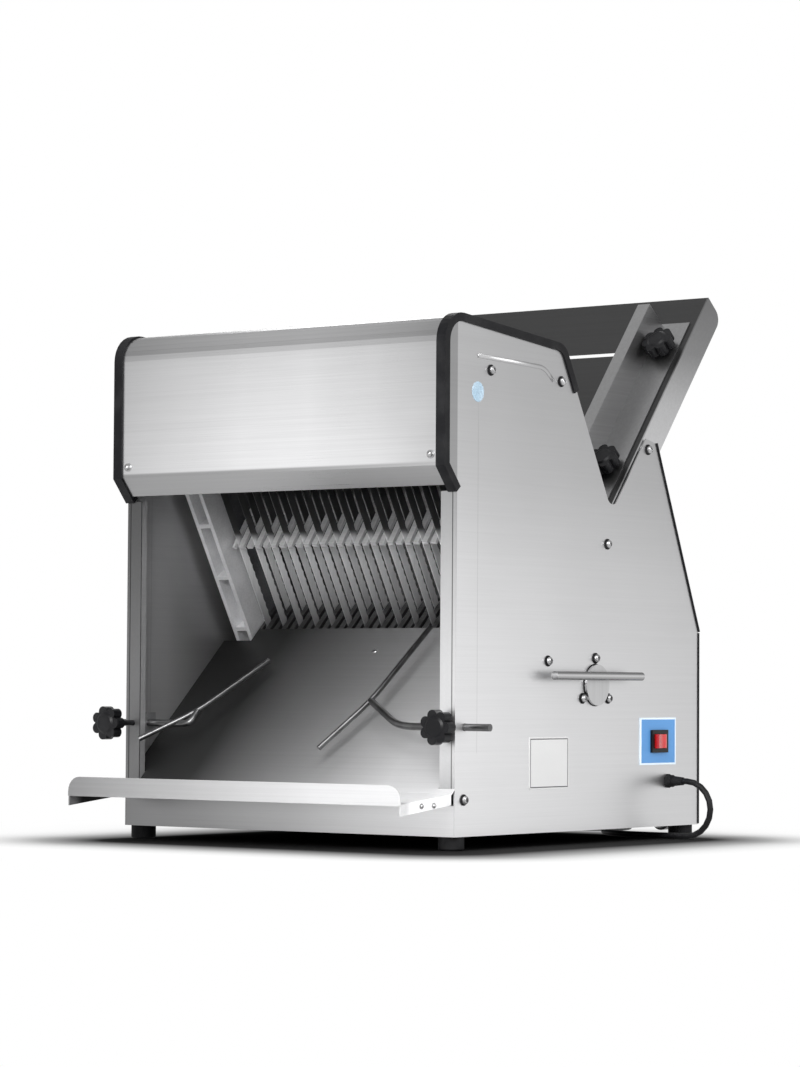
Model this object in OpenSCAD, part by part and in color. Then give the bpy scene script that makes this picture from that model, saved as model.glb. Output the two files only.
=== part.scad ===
// Gravity-feed bread slicer: a steel body with an inclined chute, two knife frames that work
// against each other, slotted combs above and below the loaf, and a receiving tray in front.
// Origin on the floor at the centre of the feet, X to the right, Y to the rear, Z up, millimetres.

/* [Body] */
// Width over the two side panels
body_w = 460; // [456:1:500]
// Depth from the front posts to the rear wall
body_d = 490; // [486:1:530]
// Thickness of the body sheets
sheet = 1.5; // [1:0.1:2]
// Width of the folded front posts
post_w = 20; // [18:1:24]
// Depth of the posts' inner return
post_return = 10; // [6:1:11]
// Height of the post ends above the panels' bottom edge
post_foot = 51; // [50:1:60]
// Height of the front apron
apron_h = 33; // [24:1:36]
// Height of the upright part of the rear wall
rear_wall_h = 225; // [200:1:240]
// Height of the turned-up rim of the base pan
pan_rim = 18; // [10:1:25]
// Height of the rubber feet
foot_h = 15; // [12:1:20]
// Diameter of the rubber feet
foot_d = 28; // [22:1:34]
// Diameter of the screw hole in a foot
foot_bore = 5; // [4:0.5:6]
// Chamfer of the rubber feet
foot_chamfer = 2; // [1:0.5:3]
// Distance from the body's edges to each foot's axis
foot_inset = 15; // [14:1:40]

/* [Head] */
// How far the hood stands in front of the posts
head_out = 22; // [16:1:30]
// Height of the head's front top above the panels' bottom edge
head_h = 558; // [550:1:580]
// Drop of the head's top towards the rear
head_fall = 20; // [10:1:22]
// Distance from the posts to the head's rear top corner
head_back = 204; // [198:1:208]
// Radius of the front top bend
head_round = 30; // [20:1:40]
// Radius of the rear top bend
head_back_round = 22; // [12:1:26]
// Height of the chin fold
chin_h = 393; // [385:1:400]
// Height of the panels' corner under the chin
chin_low = 367; // [360:1:372]
// Gap along the chin from that corner to the hood's lower edge
hood_gap = 8; // [4:1:12]
// Width of the edge trim seen from the front
trim_w = 10; // [8:1:12]
// Reach of the edge trim over the panels
trim_reach = 7; // [5:1:9]
// Height of the edge trim over the panels' faces and edges
trim_out = 2; // [1.5:0.5:3]
// Height at which the edge trim ends behind the head
trim_end = 490; // [475:1:500]

/* [Loaf passage] */
// Slope of the tray and the lower comb
tray_angle = 43; // [41:0.5:45]
// Distance from the posts to the place where the knives cross the tray's plane
knife_back = 206; // [202:1:210]
// Height at which the knives cross the tray's plane
knife_h = 244; // [240:1:248]
// Distance from the posts to the throat, the lowest point of the panels' notch
throat_back = 303; // [298:1:308]
// Height of the throat above the panels' bottom edge
throat_h = 357; // [352:1:362]
// Rounding of the throat
throat_round = 12; // [8:1:20]
// Slope of the upper comb and the passage's ceiling
ceiling_angle = 55; // [53:0.5:57]
// Height of the upper comb over the tray's plane, along the knives
ceiling_h = 108; // [102:1:114]
// Thickness of the slotted combs
comb_t = 4; // [3:0.5:5]
// Reach of the lower comb in front of the knives
low_comb_front = 27; // [26:1:30]
// Reach of the lower comb behind the knives
low_comb_rear = 30; // [28:1:32]
// Reach of the upper comb in front of the knives
high_comb_front = 24; // [24:1:28]
// Reach of the upper comb behind the knives
high_comb_rear = 48; // [42:1:50]
// Reach of the comb slots behind the knives
slot_reach = 24.5; // [24:0.5:25.5]
// Width of the comb slots
slot_w = 5; // [4:0.5:6]

/* [Chute] */
// Length of the chute above the throat
chute_len = 342; // [325:1:360]
// Gap between the chute and the side panels
chute_gap = 2.5; // [1.5:0.5:4]
// Depth of the chute's turned-down sides
chute_flange = 36; // [30:1:40]
// Corner radius of the chute's turned-down sides
chute_round = 14; // [6:1:18]
// Distance from the throat to the top of the panels, along the chute
panel_chute = 114; // [110:1:118]
// Distance from the posts to the top of the panels' leaning rear edge
rear_top_back = 396; // [392:1:402]
// Height of the top of the panels' leaning rear edge
rear_top_h = 441; // [436:1:446]
// Diameter of the spacers between the chute and the panels
spacer_d = 18; // [14:1:22]

/* [Tray] */
// Distance that the shelf stands out in front of the posts
shelf_out = 96; // [80:1:110]
// Fall of the shelf towards its lip
shelf_angle = 6; // [4:0.5:8]
// Height of the shelf's bend above the panels' bottom edge
shelf_h = 46; // [44:0.5:47]
// Height of the lip
lip_h = 20; // [16:1:26]
// Corner radius of the lip
lip_round = 16; // [8:1:18]
// Depth of the shelf's turned-down sides
shelf_flange = 12; // [8:1:14]

/* [Knives] */
// Least distance from the end blades to the panels' outer faces
blade_margin = 48; // [46:1:50]
// Distance from blade to blade, the thickness of a slice
blade_pitch = 12; // [11:0.5:12]
// Thickness of a blade
blade_t = 0.6; // [0.4:0.1:0.8]
// Width of a blade
blade_w = 11; // [9:0.5:11.5]
// Depth of the scallops in the cutting edge
tooth_d = 1.2; // [0.6:0.1:1.6]
// Length of one scallop
tooth_l = 10; // [8:1:14]
// Lean of the knives from upright
knife_lean = 30; // [29:0.5:31]
// Distance between the two rows of blades
row_gap = 28; // [27.5:0.5:28.5]
// Free gap between the two knife frames
frame_gap = 4; // [3:0.5:5]
// Gap between the knife frames and the plates round them
frame_clear = 8; // [6:0.5:10]
// Stroke of each frame
stroke = 20; // [16:1:20]
// Height of the frames above the tray's plane
frame_top = 275; // [268:1:278]
// Depth of the frames below the tray's plane
frame_low = 70; // [66:1:72]
// Width of the cast side bars
bar_w = 25; // [22:1:26]
// Depth of the cast side bars
bar_d = 36; // [32:1:38]
// Wall of the cast side bars and their ribs
bar_wall = 5; // [4:0.5:6]
// Distance from rib to rib in the side bars
rib_pitch = 58; // [50:1:65]
// Gap from the last blade to the side bars
bar_gap = 11; // [9:1:12]
// Height of the bars that hold the blades
holder_h = 26; // [22:1:28]
// Thickness of the bars that hold the blades
holder_d = 21; // [20:0.5:22]
// Depth to which a blade sits in its holder
blade_seat = 10; // [7:0.5:12]
// Diameter of the guide rods
rod_d = 8; // [7:0.5:9]
// Height of the guide lugs on the side bars
lug_h = 28; // [22:1:32]
// Height of the brackets that hold the guide rods
bracket_h = 18; // [14:1:18]

/* [Drive] */
// Distance from the tray's plane down to the crankshaft, along the knives
crank_low = 150; // [147:1:153]
// Diameter of the crankshaft
shaft_d = 20; // [18:1:22]
// Diameter of the crank pins
pin_d = 12; // [10:0.5:14]
// Diameter of the crank rollers
roller_d = 24; // [22:1:26]
// Width of the crank rollers
roller_w = 11; // [10:0.5:12]
// Distance of the crank pins from the middle plane
crank_x = 40; // [36:1:46]
// Diameter of the crank webs
web_d = 56; // [52:1:60]
// Thickness of the crank webs
web_t = 8; // [6:0.5:10]
// Wall of the yokes round their slots
yoke_wall = 8; // [6:0.5:10]
// Distance of the crank bearings from the middle plane
stand_x = 110; // [100:1:118]
// Thickness of the crank stands
stand_t = 14; // [10:0.5:16]
// Length of the crank stands' feet
stand_l = 96; // [84:1:110]
// Outside diameter of the crank bearings
bearing_d = 42; // [38:1:46]
// Diameter of the driven pulley
pulley_d = 120; // [110:1:122]
// Diameter of the motor pulley
pinion_d = 48; // [44:1:56]
// Distance of the belt from the middle plane
belt_x = 150; // [146:1:160]
// Width of the belt
belt_w = 10; // [8:0.5:12]
// Thickness of the belt
belt_t = 7; // [6:0.5:8]
// Distance from the rear wall to the motor shaft
motor_in = 70; // [66:1:74]
// Height of the motor shaft above the panels' bottom edge
motor_h = 80; // [76:1:84]
// Diameter of the motor over its fins
motor_d = 108; // [100:1:112]
// Length of the motor
motor_l = 170; // [150:1:190]
// Diameter of the motor shaft
motor_shaft_d = 14; // [12:1:16]
// Thickness of the motor plate
motor_plate_t = 6; // [4:0.5:8]

/* [Loaf guides] */
// Distance of the loaf guides' walls from the middle
guide_x = 177; // [170:1:180]
// Height of the loaf guides
guide_h = 35; // [30:1:40]
// Width of the loaf guides' base
guide_base = 40; // [38:1:41]
// Width of the loaf guides' top
guide_top = 15; // [10:1:18]
// Distance from the throat to the lower end of the loaf guides
guide_low = 10; // [8:1:20]
// Distance from the throat to the upper end of the loaf guides
guide_high = 300; // [290:1:310]
// Distance from the throat to the lower guide slot
slot_low = 69; // [60:1:75]
// Distance from the throat to the upper guide slot
slot_high = 256; // [245:1:265]
// Inner end of the guide slots
slot_in = 40; // [36:1:48]
// Outer end of the guide slots
slot_out = 204; // [203:1:208]
// Diameter of the clamping studs
stud_d = 6; // [5:0.5:7]
// Height of the loaf guides' studs over their base
stud_h = 13; // [11:1:15]

/* [Exit guides and knobs] */
// Diameter of the exit guides' round bar
exit_rod_d = 8; // [7:0.5:9]
// Diameter of the exit guides' wire
exit_wire_d = 6; // [5:0.5:7]
// Distance from the posts to the exit guides' bar
exit_back = 18; // [17:0.5:20]
// Height of the exit guides' bar above the panels' bottom edge
exit_h = 116; // [110:1:122]
// Length of the exit guides' bar outside the panels
exit_out = 33; // [32:1:40]
// Distance from the right post to its knob
right_knob_out = 5; // [3:1:12]
// Distance from the left post to its knob, which has the longer screw
left_knob_out = 29; // [20:1:32]
// Diameter of the star knobs
knob_d = 38; // [34:1:40]
// Thickness of the star knobs' lobes
knob_t = 13; // [11:1:15]
// Height of the star knobs' necks
knob_neck = 6; // [5:1:8]
// Diameter of the star knobs' necks
neck_d = 17; // [14:1:20]
// Diameter of the lobes on a star knob
lobe_d = 12; // [10:0.5:13]
// Number of lobes on a star knob
knob_lobes = 7; // [5:1:8]

/* [Side fittings] */
// Distance from the posts to the turn handle's stem
handle_back = 256; // [252:1:260]
// Height of the turn handle's stem above the panels' bottom edge
handle_h = 172; // [168:1:176]
// Length of the turn handle's bar
handle_l = 177; // [160:1:185]
// Diameter of the turn handle's bar
handle_d = 9.5; // [8:0.5:12]
// Diameter of the turn handle's stem
stem_d = 8.5; // [7:0.5:10]
// Diameter of the collar on the inner end of the handle's stem
collar_d = 12; // [11:0.5:12.5]
// Thickness of the collar on the handle's stem
collar_t = 4; // [3:0.5:5]
// Distance of the turn handle's bar from the panel
handle_out = 14; // [13:0.5:20]
// Distance from the posts to the middle of the handle's boss
boss_back = 270; // [266:1:274]
// Height of the middle of the handle's boss
boss_h = 162; // [158:1:166]
// Diameter of the handle's boss
boss_d = 46; // [44:1:47]
// Thickness of the handle's boss
boss_t = 4; // [2:0.5:5]
// Pitch circle of the boss screws
boss_pcd = 60; // [60:1:66]
// Distance from the rear wall to the middle of the switch
switch_in = 89; // [85:1:95]
// Height of the switch above the panels' bottom edge
switch_h = 98; // [94:1:104]
// Width of the switch plate
switch_plate_w = 76; // [70:1:80]
// Height of the switch plate
switch_plate_h = 54; // [50:1:56]
// Width of the rocker's bezel
bezel_w = 34; // [32:1:36]
// Height of the rocker's bezel
bezel_h = 26; // [24:1:28]
// Distance from the rear wall to the cable gland
gland_in = 68; // [64:1:72]
// Height of the cable gland above the panels' bottom edge
gland_h = 52; // [50:1:54]
// Diameter of the cable gland
gland_d = 16; // [14:1:18]
// Diameter of the mains cord
cord_d = 7; // [6:0.5:7]
// Diameter of the dome screws on the panels
screw_d = 9; // [7:0.5:10]
// Diameter of the screws on the hood
hood_screw_d = 7; // [5:0.5:8]
// Diameter of the screws on the shelf's sides
shelf_screw_d = 4.5; // [3.5:0.5:5.5]

/* [Hidden] */
$fn = 48;

// Clearances shared by the fits
run_gap = 0.05;
slide_gap = 0.3;
press_gap = 0.02;
cut = 1;

// Vectors, paths and lines in the plane of Y and Z
function unit(v) = v / norm(v);
function toward(angle) = [cos(angle), sin(angle)];
function reversed(list) = [for (i = [len(list) - 1:-1:0]) list[i]];
function on_line(p, angle, s, n) = p + s * toward(angle) + n * toward(angle + 90);
function meet(p, d, q, e) =
  p + d * (((q - p)[0] * e[1] - (q - p)[1] * e[0]) / (d[0] * e[1] - d[1] * e[0]));
function half_turn(angle) = (angle + 540) % 360 - 180;
function arc(middle, r, a0, sweep, n) = [for (i = [0:n]) middle + r * toward(a0 + sweep * i / n)];
function fillet(a, b, c, r, n = 8) =
  let (u = unit(a - b), v = unit(c - b), half = acos(u * v) / 2, m = b + unit(u + v) * r / sin(half),
    s = b + u * r / tan(half) - m, e = b + v * r / tan(half) - m, a0 = atan2(s[1], s[0]))
  arc(m, r, a0, half_turn(atan2(e[1], e[0]) - a0), n);
function left_normal(a, b) = let (d = unit(b - a)) [-d[1], d[0]];
function mitre(path, i) =
  let (last = len(path) - 1, n0 = left_normal(path[max(i - 1, 0)], path[max(i - 1, 0) + 1]),
    n1 = left_normal(path[min(i, last - 1)], path[min(i, last - 1) + 1]), s = n0 + n1)
  s * 2 / (s * s);
function beside(path, d) = [for (i = [0:len(path) - 1]) path[i] + d * mitre(path, i)];
function band(path, d0, d1) = concat(beside(path, d0), reversed(beside(path, d1)));

// Places that the body's sizes give
front = -body_d / 2;
rear = body_d / 2;
half_w = body_w / 2;
inner = half_w - sheet;
base = foot_h;
function place(back, up) = [front + back, base + up];

// The knives cross the tray's plane at knife_foot, and the chute runs from the throat to the lower comb
knife_foot = place(knife_back, knife_h);
throat = place(throat_back, throat_h);
function knife_point(y, t) = on_line(knife_foot, knife_lean, y, t);
function knife_depth(p) = (p - knife_foot) * toward(knife_lean);
function tray_point(s) = on_line(knife_foot, tray_angle, s, 0);
function tray_at(y) = tray_point((y - knife_foot[0]) / cos(tray_angle));
comb_end = tray_point(low_comb_rear);
chute_angle = atan2(throat[1] - comb_end[1], throat[0] - comb_end[0]);
chute_low = -norm(throat - comb_end);
function chute_point(s, n) = on_line(throat, chute_angle, s, n);
ceiling = knife_point(0, ceiling_h);
function ceiling_point(s) = on_line(ceiling, ceiling_angle, s, 0);
frame_reach = frame_gap / 2 + bar_d + frame_clear;
tray_shoulder = -frame_reach / cos(tray_angle - knife_lean);
chute_shoulder = (frame_reach - knife_depth(throat)) / cos(chute_angle - knife_lean);
ceiling_shoulder = frame_reach / cos(ceiling_angle - knife_lean);

// Rows of blades, their frames and the guide rods
blade_count = 2 * floor((half_w - blade_margin) / blade_pitch) + 1;
blade_half = (blade_count - 1) / 2 * blade_pitch;
bar_in = blade_half + bar_gap;
bar_out = bar_in + bar_w;
comb_half = bar_in - frame_clear / 2;
rod_x = (bar_out + inner) / 2;
rod_y = frame_gap / 2 + bar_d / 2;
rod_bottom = -frame_low - stroke / 2 - frame_clear / 2 - bracket_h;
rod_top = frame_top + stroke / 2 + frame_clear / 2 + bracket_h;
holder_in = frame_top - holder_h;

// Drive
crank = knife_point(0, -crank_low);
crank_r = stroke / 2;
motor_axis = place(body_d - motor_in, motor_h);
motor_end = belt_x - belt_w / 2 - 12;

// Outline of the side panels: the head from the chin over the top, then the notch and the rear
chin = [place(0, chin_low), place(-head_out, chin_h)];
head_front = place(-head_out, head_h);
head_rear = place(head_back, head_h - head_fall);
head_path = concat(chin, fillet(chin[1], head_front, head_rear, head_round),
  fillet(head_front, head_rear, throat, head_back_round));
head_end = head_path[len(head_path) - 1];
ceiling_end = meet(ceiling, toward(ceiling_angle), head_rear, throat - head_rear);
trim_stop = meet(head_rear, throat - head_rear, place(0, trim_end), [1, 0]);
panel_corner = chute_point(panel_chute, 0);
rear_top = place(rear_top_back, rear_top_h);
rear_bend = place(body_d, rear_wall_h);
panel_outline = concat([place(0, 0), place(body_d, 0), rear_bend, rear_top, panel_corner],
  fillet(panel_corner, throat, head_rear, throat_round), reversed(head_path));

// Tray and shelf
shelf_bend = meet(knife_foot, toward(tray_angle), place(0, shelf_h), [1, 0]);
shelf_tip = meet(shelf_bend, toward(shelf_angle), place(-shelf_out, 0), [0, 1]);

// Side fittings
exit_z = base + exit_h;
exit_y = front + exit_back;
post_x = half_w - post_w / 2;
handle_axis = place(handle_back, handle_h);
collar_x = inner - slide_gap;
boss_middle = place(boss_back, boss_h);
gland_place = place(body_d - gland_in, gland_h);
switch_place = place(body_d - switch_in, switch_h);

// Places of the dome screws on the side panels; the third and fourth hold the chute
screw_places = [place(63, 500), place(199, 498), place(379, 433), place(294, 321), place(175, 188),
  place(16, 39)];

// Route of the mains cord from the gland to its coil: how far it lies right of the panel and behind
// the gland, and its height
cord_turns = [[22, 0, 67], [27, 0, 67], [36.7, 0, 65.5], [45.5, 0, 61], [52.5, 0, 54],
  [57, 0, 45.2], [58.5, 0, 35.5], [57, 0, 25.8], [52.5, 0, 17], [45.5, 0, 10], [36.7, 0, 5.5],
  [27, 0, 4], [10, 0, 4], [-9, 0, 4], [-28, 0.5, 4], [-46, 2.5, 4], [-64, 7, 4], [-81, 14, 4],
  [-96, 23.5, 4], [-108, 35, 4], [-118, 48.5, 4], [-126, 63, 4], [-132.5, 79, 4.5],
  [-136.5, 96, 5.2], [-138, 115, 5.5]];
cord_route = [for (p = cord_turns) p + [half_w, gland_place[0], 0]];

// Extrudes an outline drawn in Y and Z from x0 to x1
module across(x0, x1) {
  translate([x0, 0, 0])
    rotate([90, 0, 90])
      linear_extrude(x1 - x0)
        children();
}

// Puts its children on a slope at a place in Y and Z: Y runs up the slope, Z stands on it
module on_slope(at, angle) {
  translate([0, at[0], at[1]])
    rotate([angle, 0, 0])
      children();
}

module on_chute() {
  on_slope(throat, chute_angle)
    children();
}

// Puts its children in the knives' frame: Z runs up the blades, Y is square to their rows
module on_knives() {
  on_slope(knife_foot, knife_lean)
    children();
}

// Repeats its children on the left side
module both_sides() {
  children();
  mirror([1, 0, 0])
    children();
}

// A box from its lowest to its highest corner
module block(low, high) {
  translate(low)
    cube(high - low);
}

// A cylinder along X, at a place in Y and Z
module along_x(x0, x1, d, at = [0, 0]) {
  translate([x0, at[0], at[1]])
    rotate([0, 90, 0])
      cylinder(h = x1 - x0, d = d);
}

// A cylinder along Y
module along_y(y0, y1, d, x, z) {
  translate([x, y0, z])
    rotate([-90, 0, 0])
      cylinder(h = y1 - y0, d = d);
}

// Base pan with a turned-up rim, between the side panels
module base_pan() {
  pan_front = front + sheet;
  pan_rear = rear - sheet;
  color("silver")
    difference() {
      block([-inner, pan_front, base], [inner, pan_rear, base + pan_rim]);
      block([-inner + sheet, pan_front + sheet, base + sheet],
        [inner - sheet, pan_rear - sheet, base + pan_rim + cut]);
    }
}

// Four rubber feet with a chamfered lower edge
module feet() {
  foot_x = half_w - foot_inset;
  foot_y = rear - foot_inset;
  foot_r = foot_d / 2;
  bore_r = foot_bore / 2;
  color("#181818")
    for (x = [-foot_x, foot_x], y = [-foot_y, foot_y])
      translate([x, y, 0])
        rotate_extrude()
          polygon([[bore_r, 0], [foot_r - foot_chamfer, 0], [foot_r, foot_chamfer], [foot_r, foot_h],
            [bore_r, foot_h]]);
}

// One side panel on the right: sheet, folded front post and its return, with the holes of its side
module side_panel(with_fittings) {
  post_z = base + post_foot;
  post_top = base + chin_low;
  post_in = half_w - post_w;
  difference() {
    union() {
      across(inner, half_w)
        polygon(panel_outline);
      block([post_in, front, post_z], [half_w, front + sheet, post_top]);
      block([post_in, front, post_z], [post_in + sheet, front + post_return, post_top]);
    }
    along_x(inner - cut, half_w + cut, exit_rod_d + 2 * slide_gap, [exit_y, exit_z]);
    along_y(front - cut, front + sheet + cut, stud_d + 2 * slide_gap, post_x, exit_z);
    if (with_fittings) {
      along_x(inner - cut, half_w + cut, stem_d + 2 * run_gap, handle_axis);
      along_x(inner - cut, half_w + cut, gland_thread_d, gland_place);
      switch_hole(inner - cut, half_w + cut);
    }
  }
}

module right_side_panel() {
  color("silver")
    side_panel(true);
}

module left_side_panel() {
  color("silver")
    mirror([1, 0, 0])
      side_panel(false);
}

// Low sheet between the panels under the tray
module front_apron() {
  color("silver")
    block([-inner, front, base], [inner, front + sheet, base + apron_h]);
}

// Rear sheet: upright below, then leaning with the panels up to the chute's sides
module rear_cover() {
  cover_top = meet(rear_bend, rear_top - rear_bend, chute_point(0, -chute_flange - frame_clear / 2),
    toward(chute_angle));
  color("silver")
    across(-inner, inner)
      polygon(band([place(body_d, 0), rear_bend, cover_top], 0, sheet));
}

// Bent hood: chin, front, rounded top
module hood() {
  hood_half = half_w - trim_w;
  hood_start = chin[0] + hood_gap * unit(chin[1] - chin[0]);
  hood_path = concat([hood_start], [for (i = [1:len(head_path) - 1]) head_path[i]]);
  color("gainsboro")
    across(-hood_half, hood_half)
      polygon(band(hood_path, 0, -sheet));
}

// Sheet behind the head that turns in under it as the ceiling of the loaf passage
module head_back_plate() {
  plate_top = head_end + slide_gap * unit(ceiling_end - head_end);
  color("silver") {
    across(-inner, inner)
      polygon(band([plate_top, ceiling_end, ceiling_point(ceiling_shoulder)], 0, -sheet));
    across(-comb_half, comb_half)
      polygon(band([ceiling_point(ceiling_shoulder + sheet), ceiling_point(high_comb_rear)], 0, -sheet));
  }
}

// A slotted plate that reaches before and behind the knives, standing on 0
module comb(before, behind) {
  difference() {
    block([-comb_half, -before, 0], [comb_half, behind, comb_t]);
    for (i = [0:blade_count - 1])
      translate([-blade_half + i * blade_pitch - slot_w / 2, -before - cut, -cut])
        cube([slot_w, before + cut + slot_reach, comb_t + 2 * cut]);
  }
}

module upper_comb() {
  color("dimgray")
    on_slope(ceiling, ceiling_angle)
      comb(high_comb_front, high_comb_rear);
}

module lower_comb() {
  color("dimgray")
    on_slope(knife_foot, tray_angle)
      translate([0, 0, -comb_t])
        comb(low_comb_front, low_comb_rear);
}

// Rounded upper corner of the lip, on the right for side 1 and on the left for side -1
function lip_corner(side) = [for (p = arc([half_w - lip_round, shelf_tip[1] + lip_h - lip_round],
  lip_round, 0, 90, 6)) [side * p[0], p[1]]];

// Receiving tray: a slope from the lower comb, a neck between the posts, a shelf and its lip
module receiving_tray() {
  behind_posts = tray_at(front + post_return + cut);
  before_posts = tray_at(front - cut);
  slope_half = inner - cut;
  neck_half = half_w - post_w - cut;
  lip_low = shelf_tip[1] - sheet;
  color("lightgray") {
    across(-comb_half, comb_half)
      polygon(band([tray_point(-low_comb_front), tray_point(tray_shoulder)], 0, sheet));
    across(-slope_half, slope_half)
      polygon(band([tray_point(tray_shoulder), behind_posts], 0, sheet));
    across(-neck_half, neck_half)
      polygon(band([behind_posts, before_posts], 0, sheet));
    across(-half_w, half_w)
      polygon(band([before_posts, shelf_bend, shelf_tip], 0, sheet));
    translate([0, shelf_tip[0] + sheet / 2, 0])
      rotate([90, 0, 0])
        linear_extrude(sheet)
          polygon(concat([[-half_w, lip_low], [half_w, lip_low]], lip_corner(1), reversed(lip_corner(-1))));
    both_sides()
      across(half_w - sheet, half_w)
        polygon([shelf_bend, shelf_tip, shelf_tip - [0, shelf_flange], shelf_bend - [0, shelf_flange]]);
  }
}

// Feed chute: a plate with guide slots and turned-down sides
module feed_chute() {
  chute_half = inner - chute_gap;
  side_path = concat([[chute_shoulder, 0], [chute_shoulder, -chute_flange]],
    fillet([chute_shoulder, -chute_flange], [chute_len, -chute_flange], [chute_len, 0], chute_round),
    [[chute_len, 0]]);
  color("gray")
    on_chute()
      difference() {
        union() {
          block([-comb_half, chute_low, -sheet], [comb_half, chute_len, 0]);
          block([-chute_half, chute_shoulder, -sheet], [chute_half, chute_len, 0]);
          both_sides()
            across(chute_half - sheet, chute_half)
              polygon(side_path);
        }
        both_sides()
          for (s = [slot_low, slot_high])
            guide_slot(s);
      }
}

// Cutter for one round-ended slot along X in the chute
module guide_slot(s) {
  slot_d = stud_d + 2 * slide_gap;
  block([slot_in, s - slot_d / 2, -sheet - cut], [slot_out, s + slot_d / 2, cut]);
  for (x = [slot_in, slot_out])
    translate([x, s, -sheet - cut])
      cylinder(h = sheet + 2 * cut, d = slot_d);
}

// Spacers that carry the chute's sides on the panels
module chute_spacers() {
  color("gray")
    both_sides()
      for (at = [screw_places[2], screw_places[3]])
        along_x(inner - chute_gap, inner, spacer_d, at);
}

// Black edging round the right panel's head
module edge_trim() {
  difference() {
    across(half_w - trim_w, half_w + trim_out)
      polygon(band(concat(head_path, [trim_stop]), trim_out, -trim_reach));
    across(inner, half_w)
      polygon(panel_outline);
    across(inner - trim_w, inner)
      polygon(band([head_end, ceiling_end], 0, -sheet));
  }
}

module right_edge_trim() {
  color("#101010")
    edge_trim();
}

module left_edge_trim() {
  color("#101010")
    mirror([1, 0, 0])
      edge_trim();
}

// Thin edging on the leaning rear edges of both panels
module rear_edge_trims() {
  color("#101010")
    both_sides()
      across(inner, half_w + sheet)
        polygon(band([rear_bend, rear_top], -trim_out, 0));
}

// Disc on the right panel that carries the turn handle's stem
module handle_boss() {
  color("silver")
    difference() {
      along_x(half_w, half_w + boss_t, boss_d, boss_middle);
      along_x(half_w - cut, half_w + boss_t + cut, stem_d + 2 * run_gap, handle_axis);
    }
}

// Turn handle: a stem through the boss with a collar inside the panel, and a bar across its end
module turn_handle() {
  bar_x = half_w + handle_out;
  color("gainsboro") {
    along_x(collar_x - collar_t, collar_x, collar_d, handle_axis);
    along_x(collar_x - collar_t, bar_x, stem_d, handle_axis);
    along_y(handle_axis[0] - handle_l / 2, handle_axis[0] + handle_l / 2, handle_d, bar_x, handle_axis[1]);
  }
}

// Two guide rods on each side, one for each frame
module guide_rods() {
  color("whitesmoke")
    on_knives()
      for (x = [-rod_x, rod_x], y = [-rod_y, rod_y])
        translate([x, y, rod_bottom])
          cylinder(h = rod_top - rod_bottom, d = rod_d);
}

// Blocks on the panels that hold the rods' ends
module guide_rod_brackets() {
  bracket_y = rod_y + rod_d + 4;
  bracket_in = rod_x - rod_d / 2 - 3;
  color("darkgray")
    difference() {
      on_knives()
        both_sides()
          for (t = [rod_bottom, rod_top - bracket_h])
            difference() {
              block([bracket_in, -bracket_y, t], [inner, bracket_y, t + bracket_h]);
              for (y = [-rod_y, rod_y])
                translate([rod_x, y, t - cut])
                  cylinder(h = bracket_h + 2 * cut, d = rod_d + 2 * press_gap);
            }
      along_x(collar_x - collar_t - slide_gap, inner + cut, collar_d + 2 * slide_gap, handle_axis);
    }
}

// One cast side bar of the front frame on the right: a ribbed channel with two guide lugs
module side_bar() {
  y0 = -frame_gap / 2 - bar_d;
  y1 = -frame_gap / 2;
  bar_l = frame_top + frame_low;
  rib_count = floor((bar_l - bar_wall) / rib_pitch);
  pocket_l = (bar_l - bar_wall) / rib_count - bar_wall;
  lug_out = inner - cut;
  lug_y = rod_d / 2 + 6;
  difference() {
    union() {
      block([bar_in, y0, -frame_low], [bar_out, y1, frame_top]);
      for (t = [-frame_low, frame_top - lug_h])
        block([bar_out, -rod_y - lug_y, t], [lug_out, -rod_y + lug_y, t + lug_h]);
    }
    for (i = [0:rib_count - 1])
      translate([bar_in + bar_wall, y0 - cut, -frame_low + bar_wall + i * (pocket_l + bar_wall)])
        cube([bar_w - 2 * bar_wall, bar_d - bar_wall + cut, pocket_l]);
    translate([rod_x, -rod_y, -frame_low - cut])
      cylinder(h = bar_l + 2 * cut, d = rod_d + 2 * run_gap);
  }
}

// Turns what is drawn for the front frame, side -1, round for the rear frame, side 1
module for_frame(side) {
  mirror([0, side < 0 ? 0 : 1, 0])
    children();
}

module side_bars(side) {
  color("lightgray")
    on_knives()
      for_frame(side)
        both_sides()
          side_bar();
}

module front_side_bars() {
  side_bars(-1);
}

module rear_side_bars() {
  side_bars(1);
}

// Places of the blades of one frame: every second one of the whole row
function blade_places(side) =
  [for (i = [side < 0 ? 0 : 1:2:blade_count - 1]) -blade_half + i * blade_pitch];

// Upper and lower bars with a seat slot for the end of each blade
module blade_holders(side) {
  seat_w = blade_t + 4 * run_gap;
  row = side * row_gap / 2;
  seat_d = blade_w / 2 + run_gap;
  color("slategray")
    on_knives()
      difference() {
        for_frame(side)
          for (t = [-frame_low, holder_in])
            block([-bar_in, -frame_gap / 2 - holder_d, t], [bar_in, -frame_gap / 2, t + holder_h]);
        for (x = blade_places(side), t = [-frame_low + holder_h - blade_seat, holder_in - cut])
          block([x - seat_w / 2, row - seat_d, t], [x + seat_w / 2, row + seat_d, t + blade_seat + cut]);
      }
}

module front_blade_holders() {
  blade_holders(-1);
}

module rear_blade_holders() {
  blade_holders(1);
}

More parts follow.
